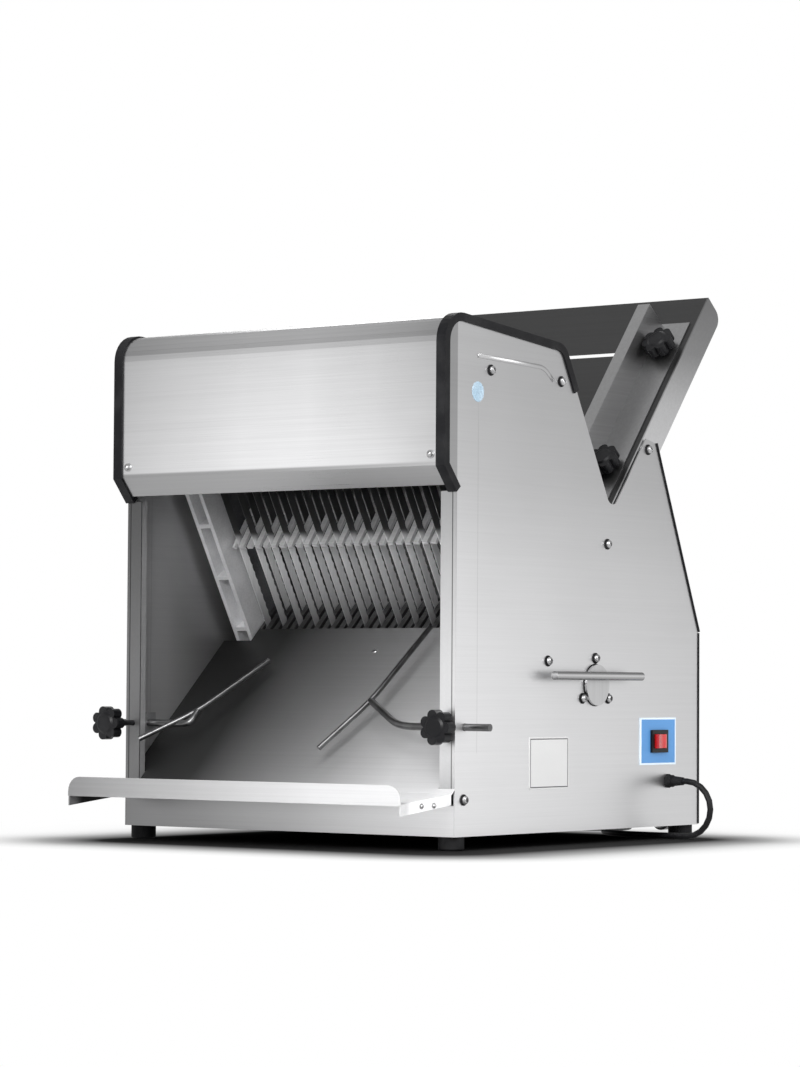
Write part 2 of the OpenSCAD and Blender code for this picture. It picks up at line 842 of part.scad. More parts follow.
// Outline of a blade in its row: a straight back and a scalloped cutting edge towards the chute
blade_low = -frame_low + holder_h - blade_seat;
blade_high = holder_in + blade_seat;
tooth_first = -2 * tooth_l;
tooth_count = floor((ceiling_h + 4 * tooth_l) / tooth_l);
tooth_steps = 4;
blade_edge = blade_w / 2;
blade_outline = concat([[-blade_edge, blade_low], [blade_edge, blade_low]],
  [for (i = [0:tooth_count - 1], k = [0:tooth_steps - 1])
    [blade_edge - tooth_d * sin(180 * k / tooth_steps), tooth_first + tooth_l * (i + k / tooth_steps)]],
  [[blade_edge, tooth_first + tooth_l * tooth_count], [blade_edge, blade_high], [-blade_edge, blade_high]]);

module blades(side) {
  color("whitesmoke")
    on_knives()
      translate([0, side * row_gap / 2, 0])
        for (x = blade_places(side))
          across(x - blade_t / 2, x + blade_t / 2)
            polygon(blade_outline);
}

module front_blades() {
  blades(-1);
}

module rear_blades() {
  blades(1);
}

// Slotted yoke under a frame's lower bar, driven by a crank roller
module yoke(side) {
  yoke_t = roller_w - 2;
  play = 0.1 * crank_r + slide_gap;
  slot_y = crank_r + roller_d / 2 + 1;
  slot_t = roller_d / 2 + play;
  x = side * crank_x;
  color("darkgray")
    on_knives()
      difference() {
        union() {
          block([x - yoke_t / 2, -slot_y - yoke_wall, -crank_low - slot_t - yoke_wall],
            [x + yoke_t / 2, slot_y + yoke_wall, -crank_low + slot_t + yoke_wall]);
          for_frame(side)
            block([x - yoke_t / 2, -frame_gap / 2 - holder_d, -crank_low],
              [x + yoke_t / 2, -frame_gap / 2, -frame_low]);
        }
        block([x - yoke_t, -slot_y, -crank_low - slot_t], [x + yoke_t, slot_y, -crank_low + slot_t]);
      }
}

module front_yoke() {
  yoke(-1);
}

module rear_yoke() {
  yoke(1);
}

// Crankshaft with two throws half a turn apart, at the middle of the stroke
module crankshaft() {
  side_play = 0.5;
  web_in = crank_x - roller_w / 2 - side_play;
  web_out = crank_x + roller_w / 2 + side_play;
  color("darkgray")
    on_slope(crank, knife_lean) {
      along_x(-web_in, web_in, shaft_d);
      along_x(-stand_x - stand_t, -web_out, shaft_d);
      along_x(web_out, belt_x + belt_w, shaft_d);
      both_sides() {
        along_x(web_in - web_t, web_in, web_d);
        along_x(web_out, web_out + web_t, web_d);
      }
      for (side = [-1, 1])
        along_x(side * crank_x - roller_w / 2 - cut, side * crank_x + roller_w / 2 + cut, pin_d,
          [side * crank_r, 0]);
    }
}

// Rollers on the crank pins
module crank_rollers() {
  color("gainsboro")
    on_slope(crank, knife_lean)
      for (side = [-1, 1])
        difference() {
          along_x(side * crank_x - roller_w / 2, side * crank_x + roller_w / 2, roller_d,
            [side * crank_r, 0]);
          along_x(side * crank_x - roller_w, side * crank_x + roller_w, pin_d + 2 * press_gap,
            [side * crank_r, 0]);
        }
}

// Bearing rings in the crank stands
module crank_bearings() {
  color("gainsboro")
    both_sides()
      difference() {
        along_x(stand_x - stand_t / 2, stand_x + stand_t / 2, bearing_d, crank);
        along_x(stand_x - stand_t, stand_x + stand_t, shaft_d + 2 * run_gap, crank);
      }
}

// Stands on the base pan that carry the crank bearings
module crank_stands() {
  foot_t = 8;
  head_wall = 8;
  floor_z = base + sheet;
  head_r = bearing_d / 2 + head_wall;
  color("slategray")
    both_sides()
      difference() {
        union() {
          across(stand_x - stand_t / 2, stand_x + stand_t / 2)
            polygon([[crank[0] - stand_l / 2, floor_z], [crank[0] + stand_l / 2, floor_z],
              [crank[0] + head_r, crank[1]], [crank[0] - head_r, crank[1]]]);
          along_x(stand_x - stand_t / 2, stand_x + stand_t / 2, 2 * head_r, crank);
          block([stand_x - stand_t, crank[0] - stand_l / 2, floor_z],
            [stand_x + stand_t, crank[0] + stand_l / 2, floor_z + foot_t]);
        }
        along_x(stand_x - stand_t, stand_x + stand_t, bearing_d + 2 * press_gap, crank);
      }
}

// A flat-sided belt pulley of a given outside diameter and bore radius, its axis along X
module pulley(d, bore) {
  side_play = 0.5;
  rim_t = 3;
  groove = belt_w / 2 + side_play;
  rim = groove + rim_t;
  floor_r = d / 2 - belt_t - belt_sink - slide_gap;
  rotate([0, 90, 0])
    rotate_extrude()
      polygon([[bore, -rim], [d / 2, -rim], [d / 2, -groove], [floor_r, -groove], [floor_r, groove],
        [d / 2, groove], [d / 2, rim], [bore, rim]]);
}

// Depth of the belt's back below the pulleys' rims
belt_sink = 1;

module driven_pulley() {
  hub_d = shaft_d + 16;
  hub_l = 16;
  color("dimgray")
    translate([belt_x, crank[0], crank[1]]) {
      pulley(pulley_d, shaft_d / 2 + press_gap);
      difference() {
        along_x(-belt_w / 2 - hub_l, 0, hub_d);
        along_x(-belt_w / 2 - hub_l - cut, cut, shaft_d + 2 * press_gap);
      }
    }
}

// Motor pulley with the motor's shaft
shaft_in = 30;

module motor_pulley() {
  color("dimgray")
    translate([0, motor_axis[0], motor_axis[1]]) {
      translate([belt_x, 0, 0])
        pulley(pinion_d, 0);
      along_x(motor_end - shaft_in, belt_x + belt_w, motor_shaft_d);
    }
}

// Belt loop round both pulleys, from the tangents of two circles
function belt_loop(r1, r2) =
  let (d = motor_axis - crank, way = atan2(d[1], d[0]), lean = acos((r1 - r2) / norm(d)), n = 24)
  concat(arc(crank, r1, way + lean, 360 - 2 * lean, n), arc(motor_axis, r2, way - lean, 2 * lean, n));

module drive_belt() {
  r1 = pulley_d / 2 - belt_t - belt_sink;
  r2 = pinion_d / 2 - belt_t - belt_sink;
  color("#202020")
    across(belt_x - belt_w / 2, belt_x + belt_w / 2)
      difference() {
        polygon(belt_loop(r1 + belt_t, r2 + belt_t));
        polygon(belt_loop(r1, r2));
      }
}

// Motor: finned housing, end bells and a foot
module motor() {
  fin_span = 112.5;
  fin_step = 22.5;
  fin_t = 3;
  fin_h = 6;
  fin_in = 1.5;
  bell_l = 22;
  foot_w = 86;
  foot_in = 6;
  foot_top = motor_axis[1] - motor_d / 3;
  back_end = motor_end - motor_l;
  color("dimgray")
    difference() {
      union() {
        translate([0, motor_axis[0], motor_axis[1]]) {
          along_x(back_end, motor_end, motor_d - 2 * fin_h);
          for (x = [back_end, motor_end - bell_l])
            along_x(x, x + bell_l, motor_d);
          for (a = [-fin_span:fin_step:fin_span])
            rotate([a, 0, 0])
              block([back_end + bell_l - cut, -fin_t / 2, motor_d / 2 - 2 * fin_h],
                [motor_end - bell_l + cut, fin_t / 2, motor_d / 2 - fin_in]);
        }
        block([back_end + bell_l + foot_in, motor_axis[0] - foot_w / 2, base + sheet + motor_plate_t],
          [motor_end - bell_l - foot_in, motor_axis[0] + foot_w / 2, foot_top]);
      }
      along_x(motor_end - shaft_in - cut, motor_end + cut, motor_shaft_d + 2 * run_gap, motor_axis);
    }
}

// Plate that carries the motor on the base pan
module motor_plate() {
  plate_w = 124;
  color("silver")
    block([motor_end - motor_l, motor_axis[0] - plate_w / 2, base + sheet],
      [motor_end, motor_axis[0] + plate_w / 2, base + sheet + motor_plate_t]);
}

// One loaf guide on the right: a Z-shaped sheet with two studs whose heads run under the chute
module loaf_guide(side) {
  section = [[guide_x - guide_top, guide_h], [guide_x, guide_h], [guide_x, slide_gap],
    [guide_x + guide_base, slide_gap]];
  path = [for (p = section) [side * p[0], p[1]]];
  head_t = 3;
  head_d = 2 * stud_d;
  head_z = -sheet - slide_gap - head_t;
  color("silver")
    on_chute() {
      translate([0, guide_high, 0])
        rotate([90, 0, 0])
          linear_extrude(guide_high - guide_low)
            polygon(band(path, 0, side * sheet));
      for (s = [slot_low, slot_high])
        translate([side * stud_x, s, head_z]) {
          cylinder(h = head_t, d = head_d);
          cylinder(h = stud_h + slide_gap + sheet - head_z, d = stud_d);
        }
    }
}

// Distance of the loaf guides' studs from the middle
stud_x = guide_x + sheet + slide_gap + knob_d / 2;

module right_loaf_guide() {
  loaf_guide(1);
}

module left_loaf_guide() {
  loaf_guide(-1);
}

// Star knob standing on Z = 0: neck, lobed grip and a low crown
module star_knob() {
  core_d = knob_d - 0.8 * lobe_d;
  crown_h = 1.5;
  color("#101010") {
    cylinder(h = knob_neck, d = neck_d);
    translate([0, 0, knob_neck])
      linear_extrude(knob_t) {
        circle(d = core_d);
        for (i = [0:knob_lobes - 1])
          rotate(i * 360 / knob_lobes)
            translate([(knob_d - lobe_d) / 2, 0])
              circle(d = lobe_d);
      }
    translate([0, 0, knob_neck + knob_t])
      cylinder(h = crown_h, d1 = core_d - 4, d2 = core_d - 9);
  }
}

// Knob on a loaf guide's stud, on the side and at the slot given
module guide_knob(side, s) {
  seat = slide_gap + sheet + slide_gap;
  on_chute()
    translate([side * stud_x, s, seat])
      difference() {
        star_knob();
        translate([0, 0, -cut])
          cylinder(h = stud_h + 2 * cut, d = stud_d + 2 * run_gap);
      }
}

module right_upper_knob() {
  guide_knob(1, slot_high);
}

module right_lower_knob() {
  guide_knob(1, slot_low);
}

module left_upper_knob() {
  guide_knob(-1, slot_high);
}

module left_lower_knob() {
  guide_knob(-1, slot_low);
}

// A round bar from one point to another
module bar(a, b, d) {
  v = b - a;
  translate(a)
    rotate([0, acos(v[2] / norm(v)), atan2(v[1], v[0])])
      cylinder(h = norm(v), d = d);
}

// Exit guides: a bar through the panel, bent to a wire that lies along the tray
weld_tilt = [37, 71, 0];
right_bend_x = half_w - 88;
right_joint = concat([half_w - 158], place(62, 143));
right_wire = [concat([half_w - 190], place(10, 91)), concat([half_w - 140], place(148, 226))];
left_bend_x = 80 - half_w;
left_joint = concat([left_bend_x], place(31, 130));
left_wire = [concat([30 - half_w], place(-12, 98)), concat([118 - half_w], place(112, 188))];

module exit_guide(bar_end, bend_x, joint, wire) {
  bead = 1.6;
  lap = 1;
  wire_lap = 2;
  bend = [bend_x, exit_y, exit_z];
  outer = [bar_end, exit_y, exit_z];
  color("gainsboro") {
    bar(outer, bend + lap * unit(bend - outer), exit_rod_d);
    bar(bend, joint, exit_rod_d);
    bar(wire[0], joint + wire_lap * unit(joint - wire[0]), exit_wire_d);
    bar(joint + lap * unit(joint - wire[1]), wire[1], exit_wire_d);
    for (at = [bend, joint])
      translate(at)
        rotate(weld_tilt)
          sphere(d = exit_rod_d + bead);
  }
}

module right_exit_guide() {
  exit_guide(half_w + exit_out, right_bend_x, right_joint, right_wire);
}

module left_exit_guide() {
  exit_guide(-half_w - exit_out, left_bend_x, left_joint, left_wire);
}

// Clamp block behind a post: a bore for the bar and one for the knob's screw
module exit_clamp() {
  clamp_wall = 8;
  clamp_in = half_w - post_w + sheet;
  clamp_r = exit_rod_d / 2 + clamp_wall;
  color("#303030")
    difference() {
      block([clamp_in, front + sheet, exit_z - clamp_r], [inner, exit_y + clamp_r, exit_z + clamp_r]);
      along_x(clamp_in - cut, inner + cut, exit_rod_d + 2 * run_gap, [exit_y, exit_z]);
      along_y(front, exit_y, stud_d + 2 * run_gap, post_x, exit_z);
    }
}

module right_exit_clamp() {
  exit_clamp();
}

module left_exit_clamp() {
  mirror([1, 0, 0])
    exit_clamp();
}

// Knob in front of a post whose screw presses on the bar
module exit_knob(side, out) {
  screw_end = exit_y - exit_rod_d / 2 - slide_gap;
  translate([side * post_x, front - out, exit_z])
    rotate([90, 0, 0])
      star_knob();
  color("gainsboro")
    along_y(front - out - cut, screw_end, stud_d, side * post_x, exit_z);
}

module right_exit_knob() {
  exit_knob(1, right_knob_out);
}

module left_exit_knob() {
  exit_knob(-1, left_knob_out);
}

// Sizes of the switch that only its own pieces share
bezel_wall = 3;
cell_wall = 1.5;
cell_l = 24;
plate_t = 1.2;
bezel_out = 3;
rocker_pin_d = 3;
rocker_tilt = 9;
cell_y = bezel_w / 2 - bezel_wall;
cell_z = bezel_h / 2 - bezel_wall;

// Cutter for the switch's body in the panel and the plate
module switch_hole(x0, x1) {
  block([x0, switch_place[0] - cell_y, switch_place[1] - cell_z],
    [x1, switch_place[0] + cell_y, switch_place[1] + cell_z]);
}

// Plate under the switch
module switch_plate() {
  plate_y = switch_plate_w / 2;
  plate_z = switch_plate_h / 2;
  color("#3f8fd0")
    difference() {
      block([half_w, switch_place[0] - plate_y, switch_place[1] - plate_z],
        [half_w + plate_t, switch_place[0] + plate_y, switch_place[1] + plate_z]);
      switch_hole(half_w - cut, half_w + plate_t + cut);
    }
}

// Bezel with the switch's body behind the panel, open at the front for the rocker
module switch_bezel() {
  room_y = cell_y - cell_wall;
  room_z = cell_z - cell_wall;
  color("#181818")
    translate([half_w + plate_t, switch_place[0], switch_place[1]])
      difference() {
        union() {
          block([0, -bezel_w / 2, -bezel_h / 2], [bezel_out, bezel_w / 2, bezel_h / 2]);
          block([-cell_l, -cell_y, -cell_z], [0, cell_y, cell_z]);
        }
        block([-cell_l + cell_wall, -room_y, -room_z], [bezel_out + cut, room_y, room_z]);
        translate([-plate_t, 0, -cell_z + slide_gap])
          cylinder(h = 2 * (cell_z - slide_gap), d = rocker_pin_d + 2 * run_gap);
      }
}

// Rocker on a pin across the bezel, tilted to its off side
module switch_rocker() {
  rocker_w = 2 * (cell_y - cell_wall) - 3;
  rocker_h = 2 * (cell_z - cell_wall) - 1;
  rocker_out = 7;
  rocker_in = 6;
  dish_r = 18;
  dish_d = 2;
  color("#c01818")
    translate([half_w, switch_place[0], switch_place[1]]) {
      rotate([0, 0, rocker_tilt])
        difference() {
          block([-rocker_in, -rocker_w / 2, -rocker_h / 2], [rocker_out, rocker_w / 2, rocker_h / 2]);
          translate([rocker_out - dish_d + dish_r, 0, -rocker_h])
            cylinder(h = 2 * rocker_h, r = dish_r);
        }
      cylinder(h = 2 * (cell_z - slide_gap) - 2 * slide_gap, d = rocker_pin_d, center = true);
    }
}

// Cable gland: a hexagon, a round nut and a taper that the cord leaves
gland_thread_d = gland_d - 4;

module cable_gland() {
  nut_t = 4;
  neck_l = cord_route[0][0] - half_w - 2 * nut_t;
  color("#141414")
    translate([half_w, gland_place[0], gland_place[1]])
      rotate([0, 90, 0]) {
        cylinder(h = nut_t, d = gland_d, $fn = 6);
        translate([0, 0, nut_t])
          cylinder(h = nut_t, d = gland_d - 2);
        translate([0, 0, 2 * nut_t])
          cylinder(h = neck_l, d1 = gland_thread_d, d2 = cord_d + 2);
        translate([0, 0, -sheet - nut_t])
          cylinder(h = sheet + nut_t, d = gland_thread_d - 2 * press_gap);
      }
}

// Tube along a list of points, with flat ends square to the first and last runs
function tangents(p) = [for (i = [0:len(p) - 1]) unit(p[min(i + 1, len(p) - 1)] - p[max(i - 1, 0)])];
function carried(t, i, n, done) = i == len(t) ? done
  : let (m = unit(n - (n * t[i]) * t[i])) carried(t, i + 1, m, concat(done, [m]));

module tube(points, d, sides) {
  t = tangents(points);
  n = carried(t, 0, [0.1, 0.2, 1], []);
  last = len(points) - 1;
  rings = [for (i = [0:last], k = [0:sides - 1])
    points[i] + d / 2 * (cos(360 * k / sides) * n[i] + sin(360 * k / sides) * cross(t[i], n[i]))];
  walls = [for (i = [0:last - 1], k = [0:sides - 1], half = [0, 1])
    let (a = i * sides + k, b = i * sides + (k + 1) % sides)
    half == 0 ? [a, a + sides, b] : [b, a + sides, b + sides]];
  ends = [for (k = [1:sides - 2]) each
    [[0, k, k + 1], [last * sides, last * sides + k + 1, last * sides + k]]];
  polyhedron(rings, concat(walls, ends));
}

module cord_lead() {
  color("#141414")
    tube(cord_route, cord_d, 10);
}

// Coil: spirals in on the floor layer, climbs in half a turn, spirals out on top and runs straight
coil_r = 48;
coil_loops = 2;
coil_rings = 24;
coil_step = cord_d + 0.7;
coil_rise = cord_d + 0.9;
coil_tail = 44;
coil_climb = 0.5;
coil_turns = 2 * coil_loops + 2 * coil_climb;
coil_start = cord_route[len(cord_route) - 1];
coil_middle = [coil_start[0] - coil_r, coil_start[1] + cord_d];
coil_back = coil_loops + coil_climb / 2;
function coil_radius(u) = coil_r - coil_step * (u < coil_back ? u : 2 * coil_back - u);
function coil_height(u) = coil_start[2] + coil_rise * min(1, max(0, (u - coil_loops) / coil_climb));
coil_end = [coil_middle[0] + coil_radius(coil_turns), coil_middle[1] + coil_tail, coil_height(coil_turns)];
coil_points = concat([coil_start],
  [for (i = [0:coil_turns * coil_rings])
    let (u = i / coil_rings, r = coil_radius(u))
    [coil_middle[0] + r * cos(360 * u), coil_middle[1] + r * sin(360 * u), coil_height(u)]],
  [coil_end - [0, coil_tail / 2, 0], coil_end]);
coil_gap = min([for (i = [0:len(coil_points) - 1], j = [i + coil_rings / 2:1:len(coil_points) - 1])
  norm(coil_points[i] - coil_points[j])]) - cord_d;

module cord_coil() {
  color("#141414")
    tube(coil_points, cord_d, 6);
  echo("least gap between the coil's turns", coil_gap);
}

// Strap round the bundle on its far side
module cord_tie() {
  strap_t = 1.2;
  strap_w = 8;
  slack = 0.4;
  r0 = coil_r - coil_step * coil_back - cord_d / 2 - slack;
  r1 = coil_r + cord_d / 2 + slack;
  z0 = coil_start[2] - cord_d / 2 - slack;
  z1 = coil_start[2] + coil_rise + cord_d / 2 + slack;
  color("#202020")
    translate([coil_middle[0], coil_middle[1], 0])
      difference() {
        block([-strap_w / 2, r0 - strap_t, z0 - strap_t], [strap_w / 2, r1 + strap_t, z1 + strap_t]);
        block([-strap_w, r0, z0], [strap_w, r1, z1]);
      }
}

// Plug at the cord's end: a tapered grip, a round face and two pins
module mains_plug() {
  grip_l = 34;
  face_l = 12;
  face_d = 2 * coil_end[2] - 1;
  pin_l = 19;
  pin_round = 4;
  pin_x = 6;
  color("#181818")
    translate(coil_end)
      rotate([-90, 0, 0]) {
        cylinder(h = grip_l, d1 = cord_d + 3, d2 = face_d - 4);
        translate([0, 0, grip_l])
          cylinder(h = face_l, d = face_d);
        for (x = [-pin_x, pin_x])
          translate([x, 0, grip_l + face_l])
            cylinder(h = pin_l, d = pin_round);
      }
}

// A dome-headed screw with its washer, standing on Z = 0
module dome_screw(d) {
  washer_t = 1;
  cylinder(h = washer_t, d = 1.35 * d);
  translate([0, 0, washer_t])
    intersection() {
      sphere(d = d);
      cylinder(h = d, d = 2 * d);
    }
}

// Screws on both side panels, with three round the handle's boss on the right
module panel_screws() {
  boss_screws = [for (a = [90, 210, 330]) boss_middle + boss_pcd / 2 * toward(a)];
  color("gainsboro") {
    both_sides()
      for (at = screw_places)
        panel_screw(at);
    for (at = boss_screws)
      panel_screw(at);
  }
}

module panel_screw(at) {
  translate([half_w, at[0], at[1]])
    rotate([0, 90, 0])
      dome_screw(screw_d);
}

// Screws on the hood's front and on the shelf's sides
module cover_screws() {
  hood_edge = 18;
  hood_up = 12;
  shelf_backs = [38, 60];
  color("gainsboro")
    both_sides() {
      translate([half_w - hood_edge, front - head_out, base + chin_h + hood_up])
        rotate([90, 0, 0])
          dome_screw(hood_screw_d);
      for (out = shelf_backs)
        translate([half_w, front - out, shelf_tip[1] - shelf_screw_d / 2])
          rotate([0, 90, 0])
            dome_screw(shelf_screw_d);
    }
}

base_pan();
feet();
right_side_panel();
left_side_panel();
front_apron();
rear_cover();
hood();
head_back_plate();
upper_comb();
lower_comb();
receiving_tray();
feed_chute();
chute_spacers();
right_edge_trim();
left_edge_trim();
rear_edge_trims();
handle_boss();
turn_handle();
guide_rods();
guide_rod_brackets();
front_side_bars();
front_blade_holders();
front_blades();
front_yoke();
rear_side_bars();
rear_blade_holders();
rear_blades();
rear_yoke();
crankshaft();
crank_rollers();
crank_bearings();
crank_stands();
driven_pulley();
motor_pulley();
drive_belt();
motor();
motor_plate();
right_loaf_guide();
left_loaf_guide();
right_upper_knob();
right_lower_knob();
left_upper_knob();
left_lower_knob();
right_exit_guide();
left_exit_guide();
right_exit_clamp();
left_exit_clamp();
right_exit_knob();
left_exit_knob();
switch_plate();
switch_bezel();
switch_rocker();
cable_gland();
cord_lead();
cord_coil();
cord_tie();
mains_plug();
panel_screws();
cover_screws();
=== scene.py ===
import math

import bmesh
import bpy
from mathutils import Matrix, Vector


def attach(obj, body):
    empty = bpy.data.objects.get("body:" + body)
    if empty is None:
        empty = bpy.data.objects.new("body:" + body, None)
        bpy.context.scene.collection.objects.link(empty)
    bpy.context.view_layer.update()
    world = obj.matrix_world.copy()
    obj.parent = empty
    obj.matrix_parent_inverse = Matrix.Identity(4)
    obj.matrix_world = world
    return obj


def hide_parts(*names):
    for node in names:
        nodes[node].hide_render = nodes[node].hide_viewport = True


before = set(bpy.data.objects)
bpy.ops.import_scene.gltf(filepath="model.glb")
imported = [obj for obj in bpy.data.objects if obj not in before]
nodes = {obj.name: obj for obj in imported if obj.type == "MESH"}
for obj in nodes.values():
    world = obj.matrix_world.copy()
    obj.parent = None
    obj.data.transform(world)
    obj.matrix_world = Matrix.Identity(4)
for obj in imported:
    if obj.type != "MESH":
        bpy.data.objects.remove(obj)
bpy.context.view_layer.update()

MM = 0.001


def mm(*v):
    """A point given in millimetres, in metres."""
    return Vector(v) * MM


def link(name, data):
    """A new object in the scene."""
    made = bpy.data.objects.new(name, data)
    bpy.context.scene.collection.objects.link(made)
    return made


# Camera at the photograph's viewing angle

IMAGE_W, FOCAL_PX = 800, 3397.93
SENSOR_W, CLIP_END = 36.0, 60
YAW, PITCH, ROLL = math.radians(36.5), math.radians(2.608), math.radians(0.355)
CAMERA_AT = mm(2322.6, -3172.9, 172.0)


def make_camera():
    data = bpy.data.cameras.new("camera")
    data.sensor_fit = "HORIZONTAL"
    data.sensor_width = SENSOR_W
    data.lens = FOCAL_PX * SENSOR_W / IMAGE_W
    data.clip_end = CLIP_END
    ahead = Vector((-math.sin(YAW) * math.cos(PITCH), math.cos(YAW) * math.cos(PITCH), math.sin(PITCH)))
    level = Vector((math.cos(YAW), math.sin(YAW), 0))
    upright = level.cross(ahead)
    right = math.cos(ROLL) * level + math.sin(ROLL) * upright
    up = right.cross(ahead)
    turn = Matrix((right, up, -ahead)).transposed().to_4x4()
    camera = link("camera", data)
    camera.matrix_world = Matrix.Translation(CAMERA_AT) @ turn
    bpy.context.scene.camera = camera


make_camera()


# Mains cord: its route, with the coil that takes up what lies behind the machine

CORD_D = 7.0
LEAD = [
    (252, 177, 67), (257, 177, 67), (266.7, 177, 65.5), (275.5, 177, 61), (282.5, 177, 54),
    (287, 177, 45.2), (288.5, 177, 35.5), (287, 177, 25.8), (282.5, 177, 17), (275.5, 177, 10),
    (266.7, 177, 5.5), (257, 177, 4), (240, 177, 4), (221, 177, 4), (202, 177.5, 4), (184, 179.5, 4),
    (166, 184, 4), (149, 191, 4), (134, 200.5, 4), (122, 212, 4), (112, 225.5, 4), (104, 240, 4),
    (97.5, 256, 4.5), (93.5, 273, 5.2), (92, 292, 5.5),
]
COIL_R, COIL_LOOPS, COIL_CLIMB, COIL_RINGS, COIL_TAIL = 48, 2, 0.5, 24, 44
COIL_GAP, COIL_LIFT = 0.7, 0.9
COIL_STEP, COIL_RISE = CORD_D + COIL_GAP, CORD_D + COIL_LIFT


def coil_route():
    """Spirals in on the floor, climbs in half a turn, spirals out on top and runs straight to the plug."""
    start = LEAD[-1]
    middle = (start[0] - COIL_R, start[1] + CORD_D)
    turns = 2 * COIL_LOOPS + 2 * COIL_CLIMB
    back = COIL_LOOPS + COIL_CLIMB / 2
    route = []
    for i in range(int(turns * COIL_RINGS) + 1):
        u = i / COIL_RINGS
        r = COIL_R - COIL_STEP * (u if u < back else 2 * back - u)
        z = start[2] + COIL_RISE * min(1, max(0, (u - COIL_LOOPS) / COIL_CLIMB))
        a = 2 * math.pi * u
        route.append((middle[0] + r * math.cos(a), middle[1] + r * math.sin(a), z))
    x, y, z = route[-1][0], middle[1], route[-1][2]
    return route + [(x, y + COIL_TAIL / 2, z), (x, y + COIL_TAIL, z)]


def tube_curve(name, points, d, resolution=6):
    """A round bar or cord along points in millimetres."""
    data = bpy.data.curves.new(name, "CURVE")
    data.dimensions = "3D"
    data.bevel_depth = 1.0
    data.bevel_resolution = resolution
    data.use_fill_caps = True
    spline = data.splines.new("POLY")
    spline.points.add(len(points) - 1)
    for p, at in zip(spline.points, points):
        p.co = (*(c * MM for c in at), 1)
        p.radius = d / 2 * MM
    spline.use_smooth = True
    return link(name, data)


cord_points = LEAD + coil_route()
cord = tube_curve("mains_cord", cord_points, CORD_D)
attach(cord, "machine_body")
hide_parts("cord_lead", "cord_coil")


# Shader maths

class Field:
    """A socket of a node tree; sums and products of fields add the nodes that work them out."""

    def __init__(self, tree, socket):
        self.tree, self.socket = tree, socket

    def node(self, kind, settings=None, sockets=None, out=0):
        made = self.tree.nodes.new(kind)
        for key, value in (settings or {}).items():
            if key == "stops":
                ramp = made.color_ramp.elements
                while len(ramp) < len(value):
                    ramp.new(0.5)
                for stop, (at, tone) in zip(ramp, value):
                    stop.position = at
                    stop.color = (tone, tone, tone, 1)
            else:
                setattr(made, key, value)
        for key, value in (sockets or {}).items():
            if isinstance(value, Field):
                self.tree.links.new(value.socket, made.inputs[key])
            else:
                made.inputs[key].default_value = value
        return Field(self.tree, made.outputs[out])

    def math(self, operation, *values):
        return self.node("ShaderNodeMath", {"operation": operation}, dict(enumerate(values)))

    def __add__(self, other):
        return self.math("ADD", self, other)

    def __sub__(self, other):
        return self.math("SUBTRACT", self, other)

    def __rsub__(self, other):
        return self.math("SUBTRACT", other, self)

    def __mul__(self, other):
        return self.math("MULTIPLY", self, other)

    def __truediv__(self, other):
        return self.math("DIVIDE", self, other)

    __radd__ = __add__
    __rmul__ = __mul__

    def __pow__(self, other):
        return self.math("POWER", self, other)

    def __abs__(self):
        return self.math("ABSOLUTE", self)

    def greatest(self, other):
        return self.math("MAXIMUM", self, other)

    def ramp(self, low, high):
        """0 below low, 1 above high and smooth between."""
        return self.node("ShaderNodeMapRange", {"interpolation_type": "SMOOTHSTEP"},
                         {"Value": self, "From Min": low, "From Max": high})

    def step(self, low, high):
        """A ramp between two places in millimetres."""
        return self.ramp(low * MM, high * MM)

    def line(self, at, core, rim):
        """1 within core of a place and 0 beyond rim, in millimetres."""
        return 1 - abs(self - at * MM).step(core, rim)

    def stops(self, low, high, *tones):
        """Tones spread evenly between two places in millimetres."""
        step = 1 / (len(tones) - 1)
        reach = (self - low * MM) / ((high - low) * MM)
        spread = [(i * step, tone) for i, tone in enumerate(tones)]
        return self.node("ShaderNodeValToRGB", {"stops": spread}, {"Fac": reach})

    def tint(self, dark, light):
        """A colour between two, by this field."""
        return self.node("ShaderNodeMix", {"data_type": "RGBA"},
                         {"Factor": self, 6: (*dark, 1), 7: (*light, 1)}, out=2)

    def shaded(self, tone):
        """This colour times a tone."""
        return self.node("ShaderNodeMix", {"data_type": "RGBA", "blend_type": "MULTIPLY"},
                         {"Factor": 1.0, 6: self, 7: tone}, out=2)

    def stretch(self, scale):
        return self.node("ShaderNodeMapping", {}, {"Vector": self, "Scale": scale})

    def noise(self, scale, detail=3.0, roughness=0.5):
        return self.node("ShaderNodeTexNoise", {},
                         {"Vector": self, "Scale": scale, "Detail": detail, "Roughness": roughness})

    def part(self, axis):
        return self.node("ShaderNodeSeparateXYZ", {}, {"Vector": self}, out="XYZ".index(axis))

    def bump(self, height, strength):
        return self.node("ShaderNodeBump", {}, {"Height": self, "Distance": height, "Strength": strength})


def finish(name, recipe, fixed):
    """A material whose recipe gets the place on the object and returns what varies over it."""
    material = bpy.data.materials.new(name)
    material.use_nodes = True
    tree = material.node_tree
    shader = tree.nodes["Principled BSDF"]
    place = Field(tree, tree.nodes.new("ShaderNodeTexCoord").outputs["Object"])
    for key, value in fixed.items():
        shader.inputs[key].default_value = value
    for key, value in recipe(place).items():
        tree.links.new(value.socket, shader.inputs[key])
    return material


# Finishes: what each kind of surface is made of

COOL = 1.01
GRAIN_LONG, GRAIN_FINE, STROKE = 7, 1400, 0.22
GRAIN = {axis: [GRAIN_LONG if a == axis else GRAIN_FINE for a in "XYZ"] for axis in "XYZ"}
GRAIN_SHARE, STROKE_SHARE, CLOUD_SHARE = 0.45, 0.25, 0.3
CLOUD_SCALE, MARK_SCALE, HAZE_SCALE = 7.0, 60.0, 900.0
PATCH_SCALE, BLOOM_SCALE, SPECK_SCALE = 26.0, 38.0, 700.0
MIDDLE = 0.5


